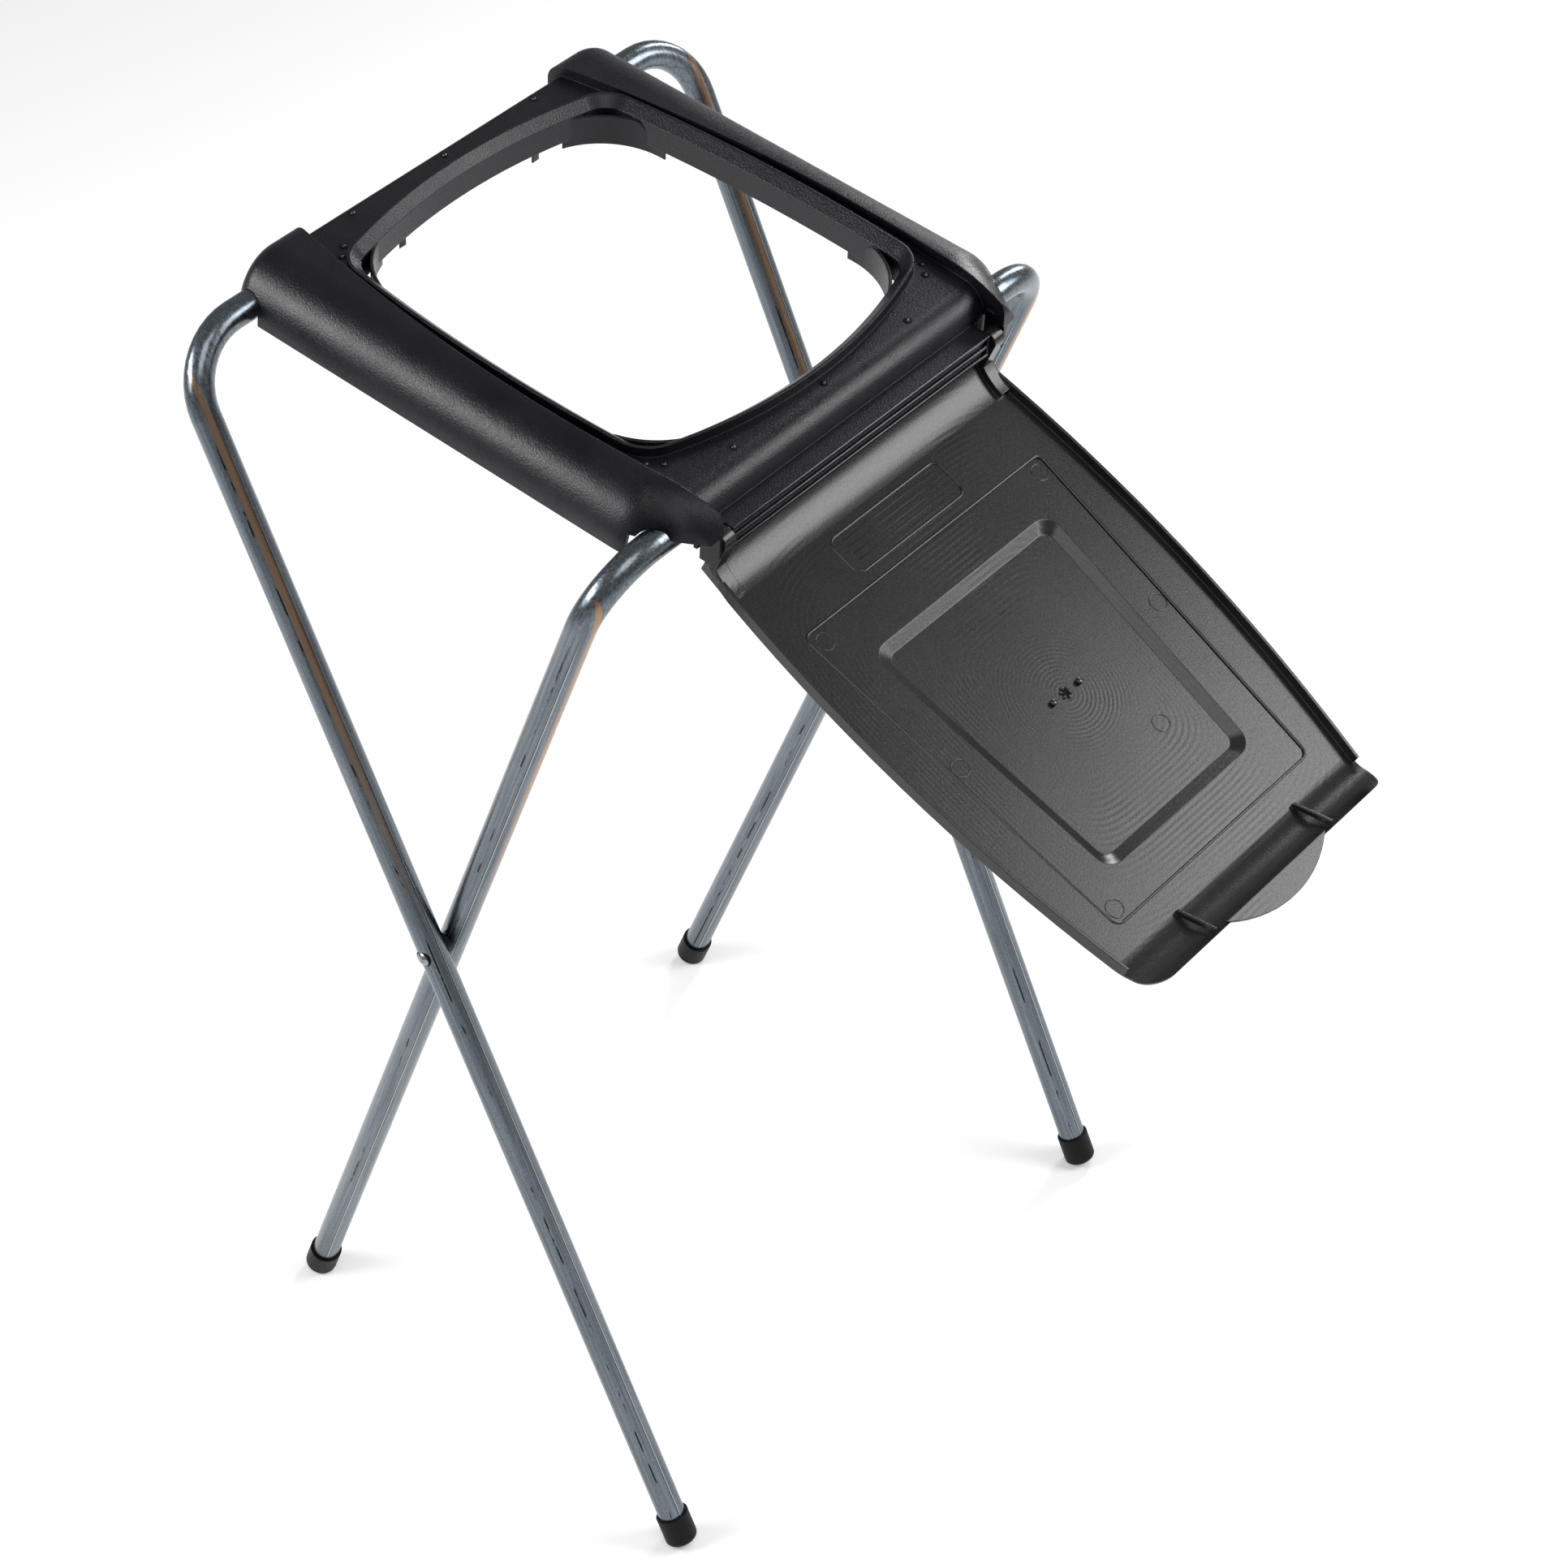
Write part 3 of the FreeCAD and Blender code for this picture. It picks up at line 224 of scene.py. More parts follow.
print("streaks in mm:", STREAK_WIDTH, "mottle in mm:", MOTTLE_SIZE)

# %% [markdown]
# Plating is metal, so its colour is the colour of its reflections and its roughness decides how wide they
# spread. A tan line on one side near the top of the legs is a painted reflection, and a pale line beside the
# weld is a painted highlight. The marks of the weld fade out where the tube starts to bend, and so does the
# painted highlight.

# %% Zinc plated steel tube
ZINC_GREYS = ((0.36, "#575e64"), (0.5, "#6c747b"), (0.66, "#868d92"))
MARKS_FADE = 30.0
GLINT_TURN = 0.07
GLINT_HALF_WIDTH = 0.3
GLINT_SHARE = 0.6
PAINTED_REFLECTION_HALF_WIDTH = 3.0
PAINTED_REFLECTION_FROM = 20.0
PAINTED_REFLECTION_TO = 200.0
PAINTED_REFLECTION_SHARE = 0.65
PLATING_DEPTH = 0.06


def zinc_plated_tube(name, lean, legs_at, bar_reach, weld, dashes, tan_reflection_angle):
    material, tree = new_material(name)
    place, angle, height = along_tube(tree, lean, legs_at)
    rolled = rolled_streaks(tree, place)
    zinc = add(tree, "ValToRGB", {"Fac": rolled}, stops=ZINC_GREYS)
    bend = bar_reach - BEND_RADIUS
    straight = add(tree, "MapRange", {"Value": height, "From Min": bend * MM,
                                      "From Max": (bend - MARKS_FADE) * MM})
    marks = weld_marks(tree, place, angle, weld, dashes)
    dark = add(tree, "Math", {0: marks, 1: straight}, operation="MULTIPLY")
    toned = add(tree, "Mix", {0: dark, 6: zinc, 7: colour("#1d2023")}, data_type="RGBA").outputs[2]
    # Painted highlight: a pale line just beside the weld stands in for a glint of light along the tube.
    beside_weld = line_at(tree, angle, weld + GLINT_TURN, GLINT_HALF_WIDTH)
    glint = add(tree, "Math", {0: beside_weld, 1: straight}, operation="MULTIPLY")
    bright = add(tree, "Math", {0: glint, 1: GLINT_SHARE}, operation="MULTIPLY")
    lit = add(tree, "Mix", {0: bright, 6: toned, 7: colour("#d4d8da")}, data_type="RGBA").outputs[2]
    # Painted reflection: a warm tan line on one side of the upper legs stands in for a tan reflection along
    # the tube.
    upper = add(tree, "MapRange", {"Value": height, "From Min": PAINTED_REFLECTION_FROM * MM, "From Max": PAINTED_REFLECTION_TO * MM})
    band = line_at(tree, angle, tan_reflection_angle, PAINTED_REFLECTION_HALF_WIDTH)
    painted_tan_line = add(tree, "Math", {0: band, 1: upper}, operation="MULTIPLY")
    painted_tan_share = add(tree, "Math", {0: painted_tan_line, 1: PAINTED_REFLECTION_SHARE}, operation="MULTIPLY")
    tone = add(tree, "Mix", {0: painted_tan_share, 6: lit, 7: colour("#b98f66")}, data_type="RGBA").outputs[2]
    rough = add(tree, "MapRange", {"Value": rolled, "From Min": 0.3, "From Max": 0.7,
                                   "To Min": 0.2, "To Max": 0.34})
    bump = add(tree, "Bump", {"Height": rolled, "Strength": 0.2, "Distance": PLATING_DEPTH * MM})
    shader = add(tree, "BsdfPrincipled", {"Base Color": tone, "Metallic": 1.0, "Roughness": rough,
                                          "Normal": bump})
    add(tree, "OutputMaterial", {"Surface": shader})
    return material


OUTER_TUBE = zinc_plated_tube("zinc_plated_outer_tube", LEG_LEAN, OUTER_LEGS_AT, OUTER_BAR_REACH,
                              weld=-1.66, dashes=-2.29, tan_reflection_angle=-1.95)
INNER_TUBE = zinc_plated_tube("zinc_plated_inner_tube", -LEG_LEAN, INNER_LEGS_AT, INNER_BAR_REACH,
                              weld=-2.43, dashes=-2.88, tan_reflection_angle=-1.6)
print("tube finishes:", OUTER_TUBE.name, INNER_TUBE.name)

# %% [markdown]
# The rivets are plated steel too, but pressed and not rolled. Their heads are brighter than the tubes and
# only carry the scuffs of the press, so a plain noise is enough and needs no direction.

# %% Zinc plated rivet
SCUFF_SIZE = 1.5


def zinc_plated_rivet():
    material, tree = new_material("zinc_plated_rivet")
    place = add(tree, "TexCoord").outputs["Object"]
    scuffs = add(tree, "TexNoise", {"Vector": place, "Scale": per_mm(SCUFF_SIZE), "Detail": 5.0})
    tone = add(tree, "ValToRGB", {"Fac": scuffs}, stops=((0.35, "#7d868c"), (0.7, "#b4babd")))
    rough = add(tree, "MapRange", {"Value": scuffs, "From Min": 0.3, "From Max": 0.7,
                                   "To Min": 0.2, "To Max": 0.38})
    shader = add(tree, "BsdfPrincipled", {"Base Color": tone, "Metallic": 1.0, "Roughness": rough})
    add(tree, "OutputMaterial", {"Surface": shader})
    return material


RIVET_STEEL = zinc_plated_rivet()
print("rivet finish:", RIVET_STEEL.name)

# %% [markdown]
# The frame and the lid are polypropylene, moulded in spark-eroded tools. That leaves a fine grain, which
# spreads the highlights into a soft sheen. The real grain is about half a millimetre, and it is drawn a
# little coarser here so that it shows. A Bevel node rounds the look of every moulded edge, so that edges
# catch a thin line of light. The toes of the rails are rounder still, so the same node with a wide radius
# takes over there.

# %% Grain and soft toes
GRAIN_DEPTH = 0.3
TOE_SOFTNESS = 14.0
TOE_FROM = 62.0
TOE_TO = 26.0
RAIL_FROM = 140.0
RAIL_TO = 150.0


def grained(tree, place, grain_mm, strength, normal):
    grain = add(tree, "TexNoise", {"Vector": place, "Scale": per_mm(grain_mm), "Detail": 3.0,
                                   "Roughness": 0.65})
    bump = add(tree, "Bump", {"Height": grain, "Normal": normal, "Strength": strength,
                              "Distance": GRAIN_DEPTH * MM})
    return grain, bump


def soft_toes(tree, place, normal):
    axes = add(tree, "SeparateXYZ", {"Vector": place}).outputs
    near_toe = add(tree, "MapRange", {"Value": axes["Y"], "From Min": TOE_FROM * MM,
                                      "From Max": TOE_TO * MM})
    across = add(tree, "Math", {0: axes["X"]}, operation="ABSOLUTE")
    on_rail = add(tree, "MapRange", {"Value": across, "From Min": RAIL_FROM * MM, "From Max": RAIL_TO * MM})
    share = add(tree, "Math", {0: near_toe, 1: on_rail}, operation="MULTIPLY")
    wide = add(tree, "Bevel", {"Radius": TOE_SOFTNESS * MM}, samples=6)
    both = add(tree, "Mix", {0: share, 4: normal, 5: wide}, data_type="VECTOR").outputs[1]
    return add(tree, "VectorMath", {0: both}, operation="NORMALIZE")


print("toes are softened over", TOE_SOFTNESS, "mm")

# %% [markdown]
# The moulded plastics differ only in colour, grain and gloss: grained polypropylene on the frame, soft vinyl
# on the feet and nylon on the sleeves. Black plastic is never one black. A slow cloud of tone runs through
# it, the tips of the grain are paler, and the roughness wanders with both.

# %% Moulded plastics
CLOUD_SIZE = 45.0
EDGE_RADIUS = 1.0
ROUGHNESS_RANGE = 0.08


def moulded_plastic(name, dark, light, grain_mm, roughness, depth=0.5, gloss=0.3, toes=False):
    material, tree = new_material(name)
    place = add(tree, "TexCoord").outputs["Object"]
    cloud = add(tree, "TexNoise", {"Vector": place, "Scale": per_mm(CLOUD_SIZE), "Detail": 6.0,
                                   "Roughness": 0.6})
    edges = add(tree, "Bevel", {"Radius": EDGE_RADIUS * MM}, samples=6)
    grain, normal = grained(tree, place, grain_mm, depth, soft_toes(tree, place, edges) if toes else edges)
    tips = add(tree, "MapRange", {"Value": grain, "From Min": 0.56, "From Max": 0.72, "To Max": 0.35})
    speckled = add(tree, "Math", {0: cloud, 1: tips}, operation="ADD")
    tone = add(tree, "ValToRGB", {"Fac": speckled}, stops=((0.35, dark), (0.9, light)))
    uneven = add(tree, "Math", {0: grain, 1: cloud}, operation="ADD")
    rough = add(tree, "MapRange", {"Value": uneven, "From Min": 0.7, "From Max": 1.3,
                                   "To Min": roughness - ROUGHNESS_RANGE,
                                   "To Max": roughness + ROUGHNESS_RANGE})
    shader = add(tree, "BsdfPrincipled", {"Base Color": tone, "Roughness": rough, "Normal": normal,
                                          "IOR": 1.49, "Specular IOR Level": gloss})
    add(tree, "OutputMaterial", {"Surface": shader})
    return material


FRAME_PLASTIC = moulded_plastic("black_polypropylene", "#07070c", "#14151e", grain_mm=1.3, roughness=0.32,
                                depth=0.8, gloss=0.38, toes=True)
CAP_PLASTIC = moulded_plastic("soft_black_vinyl", "#08080a", "#121214", grain_mm=1.1, roughness=0.5,
                              gloss=0.2)
SLEEVE_PLASTIC = moulded_plastic("black_nylon_sleeve", "#0e0e10", "#1a1a1d", grain_mm=0.8, roughness=0.4)
print("plastic finishes:", FRAME_PLASTIC.name, CAP_PLASTIC.name, SLEEVE_PLASTIC.name)

# %% [markdown]
# The lid's tool was milled and never polished. The cutter went round the field in ever smaller rounded
# rectangles, and round the gate, where the plastic came in, in circles. The lid's plane is tilted, so a
# Mapping node lays the coordinates into it first, with the gate at their middle. A sine of the distance from
# the gate then gives the circles, and a sine of a squared-off distance gives the rounded rectangles.

# %% Milling marks on the lid
GATE_REACH = 193.0
MILLED_HALF_WIDTH = 88.0
MILLED_HALF_LENGTH = 108.0
MILLED_HALF_MEAN = 98.0
SQUARENESS = 5.0
ROUND_PITCH = 3.4
CIRCLE_PITCH = 2.8
CIRCLES_FADE = (52.0, 30.0)
ROUNDS_FADE = (45.0, 75.0)
PATCH_SIZE = 60.0


def lid_coordinates(tree):
    place = add(tree, "TexCoord").outputs["Object"]
    level = Matrix.Rotation(-LID_TILT, 3, "X")
    gate = on_lid(0.0, GATE_REACH, 0.0).translation
    laid = add(tree, "Mapping", {"Vector": place, "Location": -(level @ gate),
                                 "Rotation": (-LID_TILT, 0.0, 0.0)})
    axes = add(tree, "SeparateXYZ", {"Vector": laid}).outputs
    flat = add(tree, "CombineXYZ", {"X": axes["X"], "Y": axes["Y"]})
    radius = add(tree, "VectorMath", {0: flat}, operation="LENGTH").outputs["Value"]
    return place, axes, radius


def rounded_rectangles(tree, axes):
    shares = []
    for axis, half in (("X", MILLED_HALF_WIDTH), ("Y", MILLED_HALF_LENGTH)):
        out = add(tree, "Math", {0: axes[axis]}, operation="ABSOLUTE")
        share = add(tree, "Math", {0: out, 1: half * MM}, operation="DIVIDE")
        shares.append(add(tree, "Math", {0: share, 1: SQUARENESS}, operation="POWER"))
    both = add(tree, "Math", {0: shares[0], 1: shares[1]}, operation="ADD")
    away = add(tree, "Math", {0: both, 1: 1.0 / SQUARENESS}, operation="POWER")
    turns = 2 * math.pi * MILLED_HALF_MEAN / ROUND_PITCH
    return add(tree, "Math", {0: away, 1: turns}, operation="MULTIPLY")


def milling_marks(tree, place, axes, radius):
    circles = add(tree, "Math", {0: radius, 1: 2 * math.pi * per_mm(CIRCLE_PITCH)}, operation="MULTIPLY")
    cuts = []
    for way, (start, end) in ((circles, CIRCLES_FADE), (rounded_rectangles(tree, axes), ROUNDS_FADE)):
        wave = add(tree, "Math", {0: way}, operation="SINE")
        shown = add(tree, "MapRange", {"Value": radius, "From Min": start * MM, "From Max": end * MM})
        cuts.append(add(tree, "Math", {0: wave, 1: shown}, operation="MULTIPLY"))
    cutter = add(tree, "Math", {0: cuts[0], 1: cuts[1]}, operation="ADD")
    patches = add(tree, "TexNoise", {"Vector": place, "Scale": per_mm(PATCH_SIZE), "Detail": 3.0})
    patchy = add(tree, "MapRange", {"Value": patches, "From Min": 0.42, "From Max": 0.62})
    return add(tree, "Math", {0: cutter, 1: patchy}, operation="MULTIPLY")


print("cutter marks in mm:", ROUND_PITCH, "round the field,", CIRCLE_PITCH, "round the gate")

# %% [markdown]
# Plastic that flows away from the gate leaves faint rays of another grey. Noise on the angle round the gate
# and the distance from it draws them, because it changes fast with the angle and slowly outwards. The lid
# was moulded from the same polypropylene as the frame, in grey and with less grain, so it shines more.

# %% Lid polypropylene
RAYS_ROUND = 2.2
RAYS_OUTWARD = 12.0
RAY_SIZE = 1.6
RAYS_END = 75.0
RAYS_START = 8.0
RAY_STRENGTH = 0.9
LID_CLOUD_SIZE = 70.0
LID_GRAIN = 1.2
LID_GRAIN_STRENGTH = 0.14
LID_EDGE_RADIUS = 0.9
MILLING_DEPTH = 0.2


def flow_rays(tree, axes, radius):
    angle = add(tree, "Math", {0: axes["Y"], 1: axes["X"]}, operation="ARCTAN2")
    turned = add(tree, "Math", {0: angle, 1: RAYS_ROUND}, operation="MULTIPLY")
    outward = add(tree, "Math", {0: radius, 1: RAYS_OUTWARD}, operation="MULTIPLY")
    round_gate = add(tree, "CombineXYZ", {"X": turned, "Y": outward})
    rays = add(tree, "TexNoise", {"Vector": round_gate, "Scale": RAY_SIZE, "Detail": 4.0, "Roughness": 0.6})
    around_zero = add(tree, "Math", {0: rays, 1: 0.5}, operation="SUBTRACT")
    fading = add(tree, "MapRange", {"Value": radius, "From Min": RAYS_END * MM, "From Max": RAYS_START * MM,
                                    "To Max": RAY_STRENGTH})
    return add(tree, "Math", {0: around_zero, 1: fading}, operation="MULTIPLY")


def milled_polypropylene():
    material, tree = new_material("dark_grey_polypropylene")
    place, axes, radius = lid_coordinates(tree)
    cloud = add(tree, "TexNoise", {"Vector": place, "Scale": per_mm(LID_CLOUD_SIZE), "Detail": 5.0})
    clouded = add(tree, "Math", {0: cloud, 1: flow_rays(tree, axes, radius)}, operation="ADD")
    tone = add(tree, "ValToRGB", {"Fac": clouded}, stops=((0.3, "#161616"), (0.75, "#242424")))
    edges = add(tree, "Bevel", {"Radius": LID_EDGE_RADIUS * MM}, samples=6)
    grain, normal = grained(tree, place, LID_GRAIN, LID_GRAIN_STRENGTH, edges)
    milled = add(tree, "Bump", {"Height": milling_marks(tree, place, axes, radius), "Normal": normal,
                                "Strength": 0.08, "Distance": MILLING_DEPTH * MM})
    rough = add(tree, "MapRange", {"Value": grain, "From Min": 0.3, "From Max": 0.7,
                                   "To Min": 0.2, "To Max": 0.3})
    shader = add(tree, "BsdfPrincipled", {"Base Color": tone, "Roughness": rough, "Normal": milled,
                                          "IOR": 1.49})
    add(tree, "OutputMaterial", {"Surface": shader})
    return material


LID_PLASTIC = milled_polypropylene()
print("lid finish:", LID_PLASTIC.name)

# %% [markdown]
# The measured solids keep their meshes. Each one only takes the finish that its material slot asks for, and
# the two leg frames take the one whose pattern leans their way.

# %% Give every measured solid its finish
FINISHES = {"rivet": RIVET_STEEL, "spacer": SLEEVE_PLASTIC, "foot_cap": CAP_PLASTIC,
            "frame_plastic": FRAME_PLASTIC, "lid_plastic": LID_PLASTIC}
TUBES = {"outer_leg_frame": OUTER_TUBE, "inner_leg_frame": INNER_TUBE}
for part in frame["record"]["subparts"]:
    solid = nodes[part["node"]]
    solid.data.materials.clear()
    solid.data.materials.append(TUBES.get(part["node"]) or FINISHES[part["material_slot"]])

# %% [markdown]
# Small details repeat all over the mouldings. A turned one needs only its profile: a few points, each a
# distance out from the axis and a height, spun once round. A straight one is a stretched cube with its edges
# bevelled round. One more function makes the finished piece, with its faces turned outwards.

# %% Helpers for shapes
MERGE_DISTANCE = 0.005


def spun(shape, profile, place, sides=20):
    earlier = set(shape.verts)
    corners = [shape.verts.new((out * MM, 0.0, height * MM)) for out, height in profile]
    edges = [shape.edges.new(pair) for pair in zip(corners, corners[1:])]
    bmesh.ops.spin(shape, geom=corners + edges, cent=(0, 0, 0), axis=(0, 0, 1), angle=2 * math.pi,
                   steps=sides, use_merge=True)
    turned = [corner for corner in shape.verts if corner not in earlier]
    bmesh.ops.transform(shape, matrix=place, verts=turned)


def rounded_bar(shape, place, half_length, depth, height, rounding, segments):
    size = Matrix.Diagonal((2 * half_length * MM, depth * MM, height * MM, 1.0))
    earlier = set(shape.edges)
    bmesh.ops.create_cube(shape, size=1.0, matrix=place @ size)
    edges = [edge for edge in shape.edges if edge not in earlier]
    bmesh.ops.bevel(shape, geom=edges, offset=rounding * MM, affect="EDGES", segments=segments, profile=0.5,
                    material=-1)


def finished(name, shape, body, material):
    bmesh.ops.remove_doubles(shape, verts=shape.verts, dist=MERGE_DISTANCE * MM)
    bmesh.ops.recalc_face_normals(shape, faces=shape.faces)
    mesh = bpy.data.meshes.new(name)
    shape.to_mesh(mesh)
    shape.free()
    mesh.shade_smooth()
    mesh.materials.append(material)
    piece = bpy.data.objects.new(name, mesh)
    bpy.context.scene.collection.objects.link(piece)
    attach(piece, body)
    print(name, "has", len(mesh.polygons), "faces")


print("helpers: spun, rounded_bar, finished")

# %% [markdown]
# Twelve small studs stand on the deck, where the ejector pins pushed the moulding out and its ends were left
# proud. Each is a low dome in a thin ring, and the ring's near black is painted shade, the shade of a pit
# round the stud. The pins are polished, so the domes are glossier than the deck, and the rings are dull.

# %% Studs on the deck
DECK_TOP = 20.0
STUDS = [(-77.6, 0.3), (3.8, 0.3), (86.0, 0.3), (-105.0, 19.5), (-113.0, 26.0), (-127.5, 288.0),
         (-120.5, 296.0), (127.5, 288.0), (120.5, 296.0), (-81.3, 315.3), (-0.8, 316.4), (79.0, 315.6)]
STUD_PROFILE = [(0.0, 1.3), (0.7, 1.2), (1.3, 0.8), (1.6, 0.2), (1.6, -0.3)]
RING_PROFILE = [(1.6, 0.12), (2.2, 0.1), (2.7, 0.25), (3.0, 0.1), (3.0, -0.3)]

STUD_PLASTIC = moulded_plastic("polished_polypropylene_stud", "#0c0c0e", "#151518", grain_mm=0.6,
                               roughness=0.2, depth=0.1, gloss=0.9)
# A dull near black that stands in for shade: painted shade in the rings round the studs, in the gate hole and
# round the rivet heads.
PAINTED_SHADE_PLASTIC = moulded_plastic("painted_shade_polypropylene", "#050506", "#09090a", grain_mm=0.6,
                              roughness=0.7, depth=0.2, gloss=0.2)
for label, profile, material in (("deck_studs", STUD_PROFILE, STUD_PLASTIC),
                                 ("deck_stud_painted_shade", RING_PROFILE, PAINTED_SHADE_PLASTIC)):
    shape = bmesh.new()
    for across, forward in STUDS:
        spun(shape, profile, on_frame(across, forward, DECK_TOP), sides=16)
    finished(label, shape, "top", material)

# %% [markdown]
# The lid was filled through its middle. The gate left a small crown of six lumps round a hole, with a
# pin on each side that located the tool's insert. The hole is only a shallow dish, and its dark is painted
# shade. Six larger ejector pins left thin rings.

# %% Gate, pins and ejector rings on the lid
RECESS_FLOOR = -35.2
FIELD_TOP = -31.5
LUMP_COUNT = 6
LUMPS_OUT = 3.3
PINS_OUT = 12.5
LUMP_PROFILE = [(0.0, 1.5), (0.6, 1.4), (1.1, 0.9), (1.3, 0.0), (1.3, -0.3)]
HOLE_PROFILE = [(0.0, 0.15), (1.9, 0.2), (2.1, 0.7), (2.4, 0.7), (2.6, 0.1), (2.6, -0.3)]
PIN_PROFILE = [(0.0, 3.0), (1.5, 2.9), (2.1, 2.4), (2.2, 1.6), (2.2, -0.3)]
EJECTOR_PROFILE = [(5.3, -0.1), (5.6, 0.2), (5.9, 0.28), (6.2, 0.2), (6.5, -0.1)]
EJECTORS = [(-102.5, 79.0, FIELD_TOP), (102.5, 79.0, FIELD_TOP), (-96.5, 187.5, FIELD_TOP),
            (96.5, 187.5, FIELD_TOP), (35.5, 244.0, RECESS_FLOOR), (-87.5, 308.0, FIELD_TOP)]

shape = bmesh.new()
for number in range(LUMP_COUNT):
    way = 2 * math.pi * (number + 0.5) / LUMP_COUNT
    lump_at = on_lid(LUMPS_OUT * math.cos(way), GATE_REACH + LUMPS_OUT * math.sin(way), RECESS_FLOOR)
    spun(shape, LUMP_PROFILE, lump_at, sides=12)
for across in (-PINS_OUT, PINS_OUT):
    spun(shape, PIN_PROFILE, on_lid(across, GATE_REACH, RECESS_FLOOR))
finished("gate_lumps_and_pins", shape, "lid", STUD_PLASTIC)

# The gate hole is a shallow dish in a near-black finish: painted shade.
shape = bmesh.new()
spun(shape, HOLE_PROFILE, on_lid(0.0, GATE_REACH, RECESS_FLOOR))
finished("gate_hole_painted_shade", shape, "lid", PAINTED_SHADE_PLASTIC)

shape = bmesh.new()
for across, reach, height in EJECTORS:
    spun(shape, EJECTOR_PROFILE, on_lid(across, reach, height), sides=32)
finished("ejector_rings", shape, "lid", LID_PLASTIC)

# %% [markdown]
# A plain rectangular insert near the hinge is a step of its own in the lid. Milling lines cross it as four
# fine ridges. Each ridge is a long thin bar that stands half a millimetre proud, so that it catches light.

# %% Ridges on the insert
INSERT_TOP = -31.2
RIDGE_REACHES = (38.0, 43.0, 48.0, 53.0)
RIDGE_HALF = 42.0
RIDGE_SUNK = 0.1

shape = bmesh.new()
for reach in RIDGE_REACHES:
    rounded_bar(shape, on_lid(0.0, reach, INSERT_TOP - RIDGE_SUNK), RIDGE_HALF, depth=0.7, height=0.6,
                rounding=0.15, segments=2)
finished("insert_ridges", shape, "lid", LID_PLASTIC)

# %% [markdown]
# The field, its sunk middle and the insert all have rounded lips, which catch the light as thin lines. A lip
# is a flat bead along a tapered outline: a sheet with the outline's corners bevelled round, its inside cut
# away by an inset, and the narrow ring that is left bevelled along its edges.

# %% Lips round the field and the insert
PANEL_TOP = -30.7
LIP_CORNER = 7.0
LIP_SLOPE = 0.3


def lip(shape, back, front, back_half, front_half, width, height):
    made = bmesh.ops.create_grid(shape, x_segments=1, y_segments=1, size=1.0)
    for point in made["verts"]:
        reach, half = (front, front_half) if point.co.y < 0 else (back, back_half)
        point.co = on_lid(math.copysign(half, point.co.x), reach, PANEL_TOP).translation
    rounded = bmesh.ops.bevel(shape, geom=made["verts"], offset=LIP_CORNER * MM, affect="VERTICES",
                              segments=8, profile=0.5, material=-1)
    sheet = rounded["verts"][0].link_faces[0]
    ring = bmesh.ops.inset_region(shape, faces=[sheet], thickness=width * MM, use_boundary=True)["faces"]
    bmesh.ops.delete(shape, geom=[sheet], context="FACES")
    bmesh.ops.inset_region(shape, faces=ring, thickness=width * LIP_SLOPE * MM, depth=height * MM,
                           use_boundary=True)


shape = bmesh.new()
lip(shape, back=68.4, front=317.9, back_half=113.0, front_half=96.5, width=1.8, height=0.5)
lip(shape, back=32.0, front=61.0, back_half=51.5, front_half=51.5, width=1.4, height=0.35)
finished("lid_lips", shape, "lid", LID_PLASTIC)

# %% [markdown]
# The closed bar under the frame's front roll, which the lid's hinge lies along, has a proud edge at its top
# and two at its steps. Real edges are rounded and rubbed smooth, so each one gets a fine round bead along it,
# in the same polypropylene with less grain and more gloss.

# %% Beads along the hinge bar
HINGE_BAR_FRONT = 349.1
HINGE_BAR_HALF = 119.5
BEAD_HEIGHTS = (2.5, -4.4, -11.3)
BEAD_SIZE = 1.3
BEAD_SUNK = 0.3

BEAD_PLASTIC = moulded_plastic("polished_polypropylene_edge", "#101015", "#1c1d24", grain_mm=1.3,
                               roughness=0.22, depth=0.2, gloss=1.0)
shape = bmesh.new()
for height in BEAD_HEIGHTS:
    rounded_bar(shape, on_frame(0.0, HINGE_BAR_FRONT - BEAD_SUNK, height), HINGE_BAR_HALF, depth=BEAD_SIZE,
                height=BEAD_SIZE, rounding=0.5, segments=4)
finished("hinge_bar_beads", shape, "top", BEAD_PLASTIC)

# %% [markdown]
# A dark ring round each rivet's head is painted shade, where the head meets the tube. It is a thin washer
# shape, turned like the studs and in the same near black as their rings, and the head stands in its middle.

# %% Rings round the rivet heads
HEAD_RING_PROFILE = [(4.7, -0.9), (4.9, -0.15), (5.4, -0.05), (5.9, -0.4), (6.0, -1.2)]

# A near-black ring round each rivet head: painted shade where the head meets the tube.
shape = bmesh.new()
for hand in (-1, 1):
    outer_face = Matrix.Translation((hand * (OUTER_LEGS_AT + TUBE_RADIUS) * MM, RIVETS.y, RIVETS.z))
    facing = Matrix.Rotation(math.radians(90.0) * hand, 4, "Y")
    spun(shape, HEAD_RING_PROFILE, outer_face @ facing, sides=28)
finished("rivet_head_painted_shade", shape, "outer_legs", PAINTED_SHADE_PLASTIC)

# %% [markdown]
# The studio has a pale floor. It glows a little where the camera sees it, straight, mirrored in metal or
# through something clear, so that it is white there and still keeps its shadows. No more light falls on the
# object for that.

# %% Floor
FLOOR_HALF = 6.0
FLOOR_GLOW = 0.2


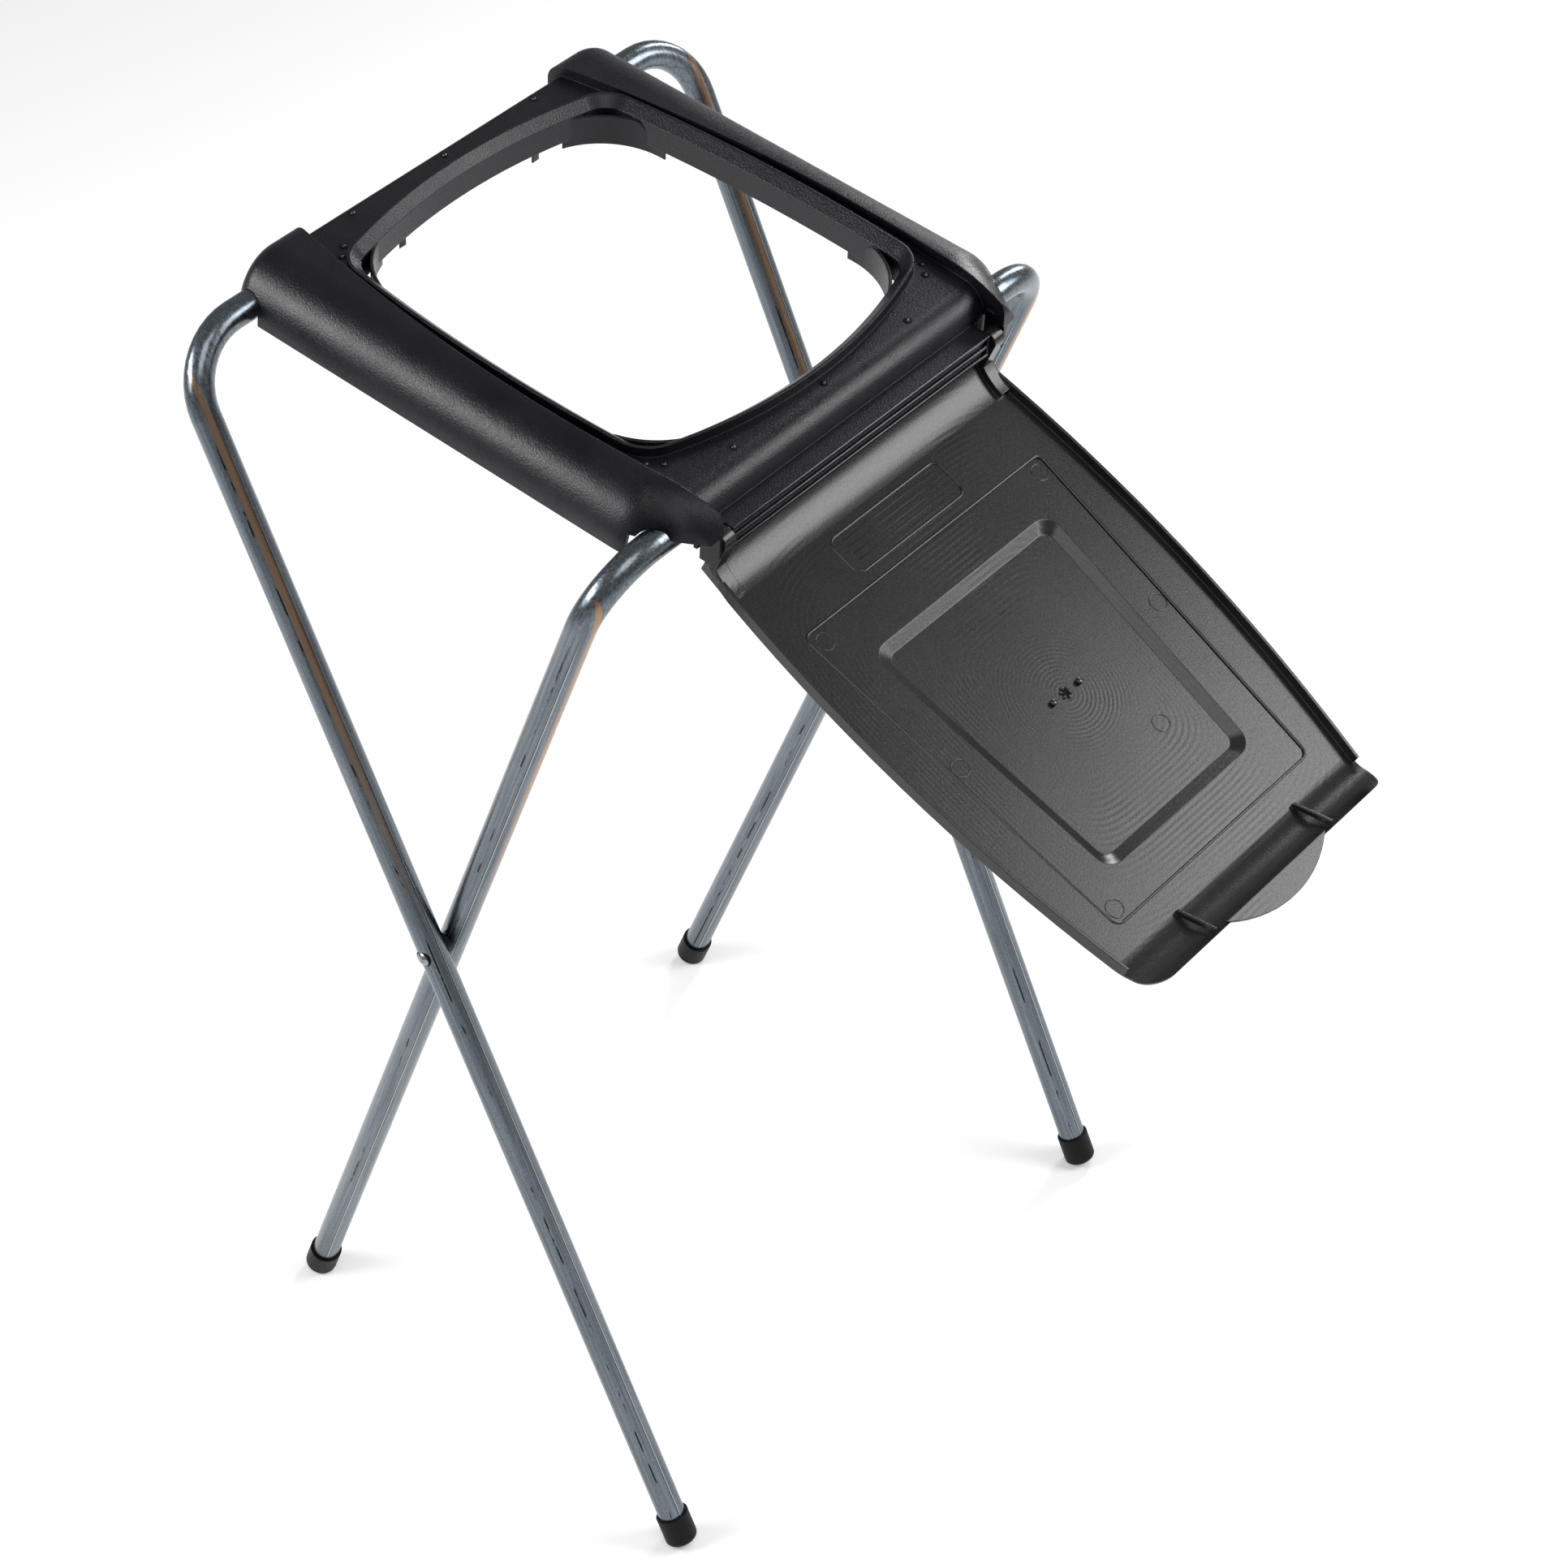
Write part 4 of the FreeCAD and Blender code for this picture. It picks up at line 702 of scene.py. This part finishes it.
def pale_floor():
    sheet = bmesh.new()
    bmesh.ops.create_grid(sheet, x_segments=1, y_segments=1, size=FLOOR_HALF)
    mesh = bpy.data.meshes.new("floor")
    sheet.to_mesh(mesh)
    sheet.free()
    material, tree = new_material("pale_floor")
    path = add(tree, "LightPath").outputs
    seen = add(tree, "Math", {0: path["Is Camera Ray"], 1: path["Is Glossy Ray"]}, operation="ADD",
               use_clamp=True)
    shown = add(tree, "Math", {0: seen, 1: path["Is Transmission Ray"]}, operation="ADD", use_clamp=True)
    glow = add(tree, "Math", {0: shown, 1: FLOOR_GLOW}, operation="MULTIPLY")
    shader = add(tree, "BsdfPrincipled", {"Base Color": colour("#f2f2f2"), "Roughness": 0.9,
                                          "Emission Color": (1.0, 1.0, 1.0, 1.0),
                                          "Emission Strength": glow})
    add(tree, "OutputMaterial", {"Surface": shader})
    mesh.materials.append(material)
    floor = bpy.data.objects.new("floor", mesh)
    bpy.context.scene.collection.objects.link(floor)


pale_floor()
print("floor material:", bpy.data.materials["pale_floor"].name)

# %% [markdown]
# Soft lamps stand round the object. The front lamp draws the band of light along the frame's rolled front
# edge and over the lid, the rail lamp the one along the near rail, and the side lamp the bright lines on the
# far legs. The fill lamp and a dim white world open the shadows. Each lamp is given by the way towards it
# from the middle of the frame, its distance and size in metres, and its power in watts.

# %% World and lamps
FRAME_MIDDLE = Vector((0.0, 0.15, 0.8))
WORLD_STRENGTH = 0.3
LAMPS = (("front_lamp", (0.6, -0.65, 0.47), 2.4, (1.2, 1.3), 36),
         ("fill_lamp", (-0.35, -0.45, 0.82), 2.4, (1.3, 1.3), 14),
         ("rail_lamp", (-0.73, 0.59, 0.35), 2.2, (1.4, 0.5), 34),
         ("side_lamp", (0.9, 0.2, 0.35), 2.3, (0.4, 1.4), 22))


def soft_lamp(name, towards, distance, size, watts):
    data = bpy.data.lights.new(name, "AREA")
    data.shape = "RECTANGLE"
    data.size, data.size_y = size
    data.energy = watts
    lamp = bpy.data.objects.new(name, data)
    bpy.context.scene.collection.objects.link(lamp)
    lamp.location = FRAME_MIDDLE + Vector(towards).normalized() * distance
    lamp.rotation_euler = Vector(towards).to_track_quat("Z", "Y").to_euler()


world = bpy.data.worlds.new("studio")
bpy.context.scene.world = world
world.use_nodes = True
world.node_tree.nodes["Background"].inputs["Color"].default_value = (1.0, 1.0, 1.0, 1.0)
world.node_tree.nodes["Background"].inputs["Strength"].default_value = WORLD_STRENGTH
for lamp_row in LAMPS:
    soft_lamp(*lamp_row)
bpy.context.scene.view_settings.view_transform = "Standard"
print("lamps:", [item.name for item in bpy.data.lights])
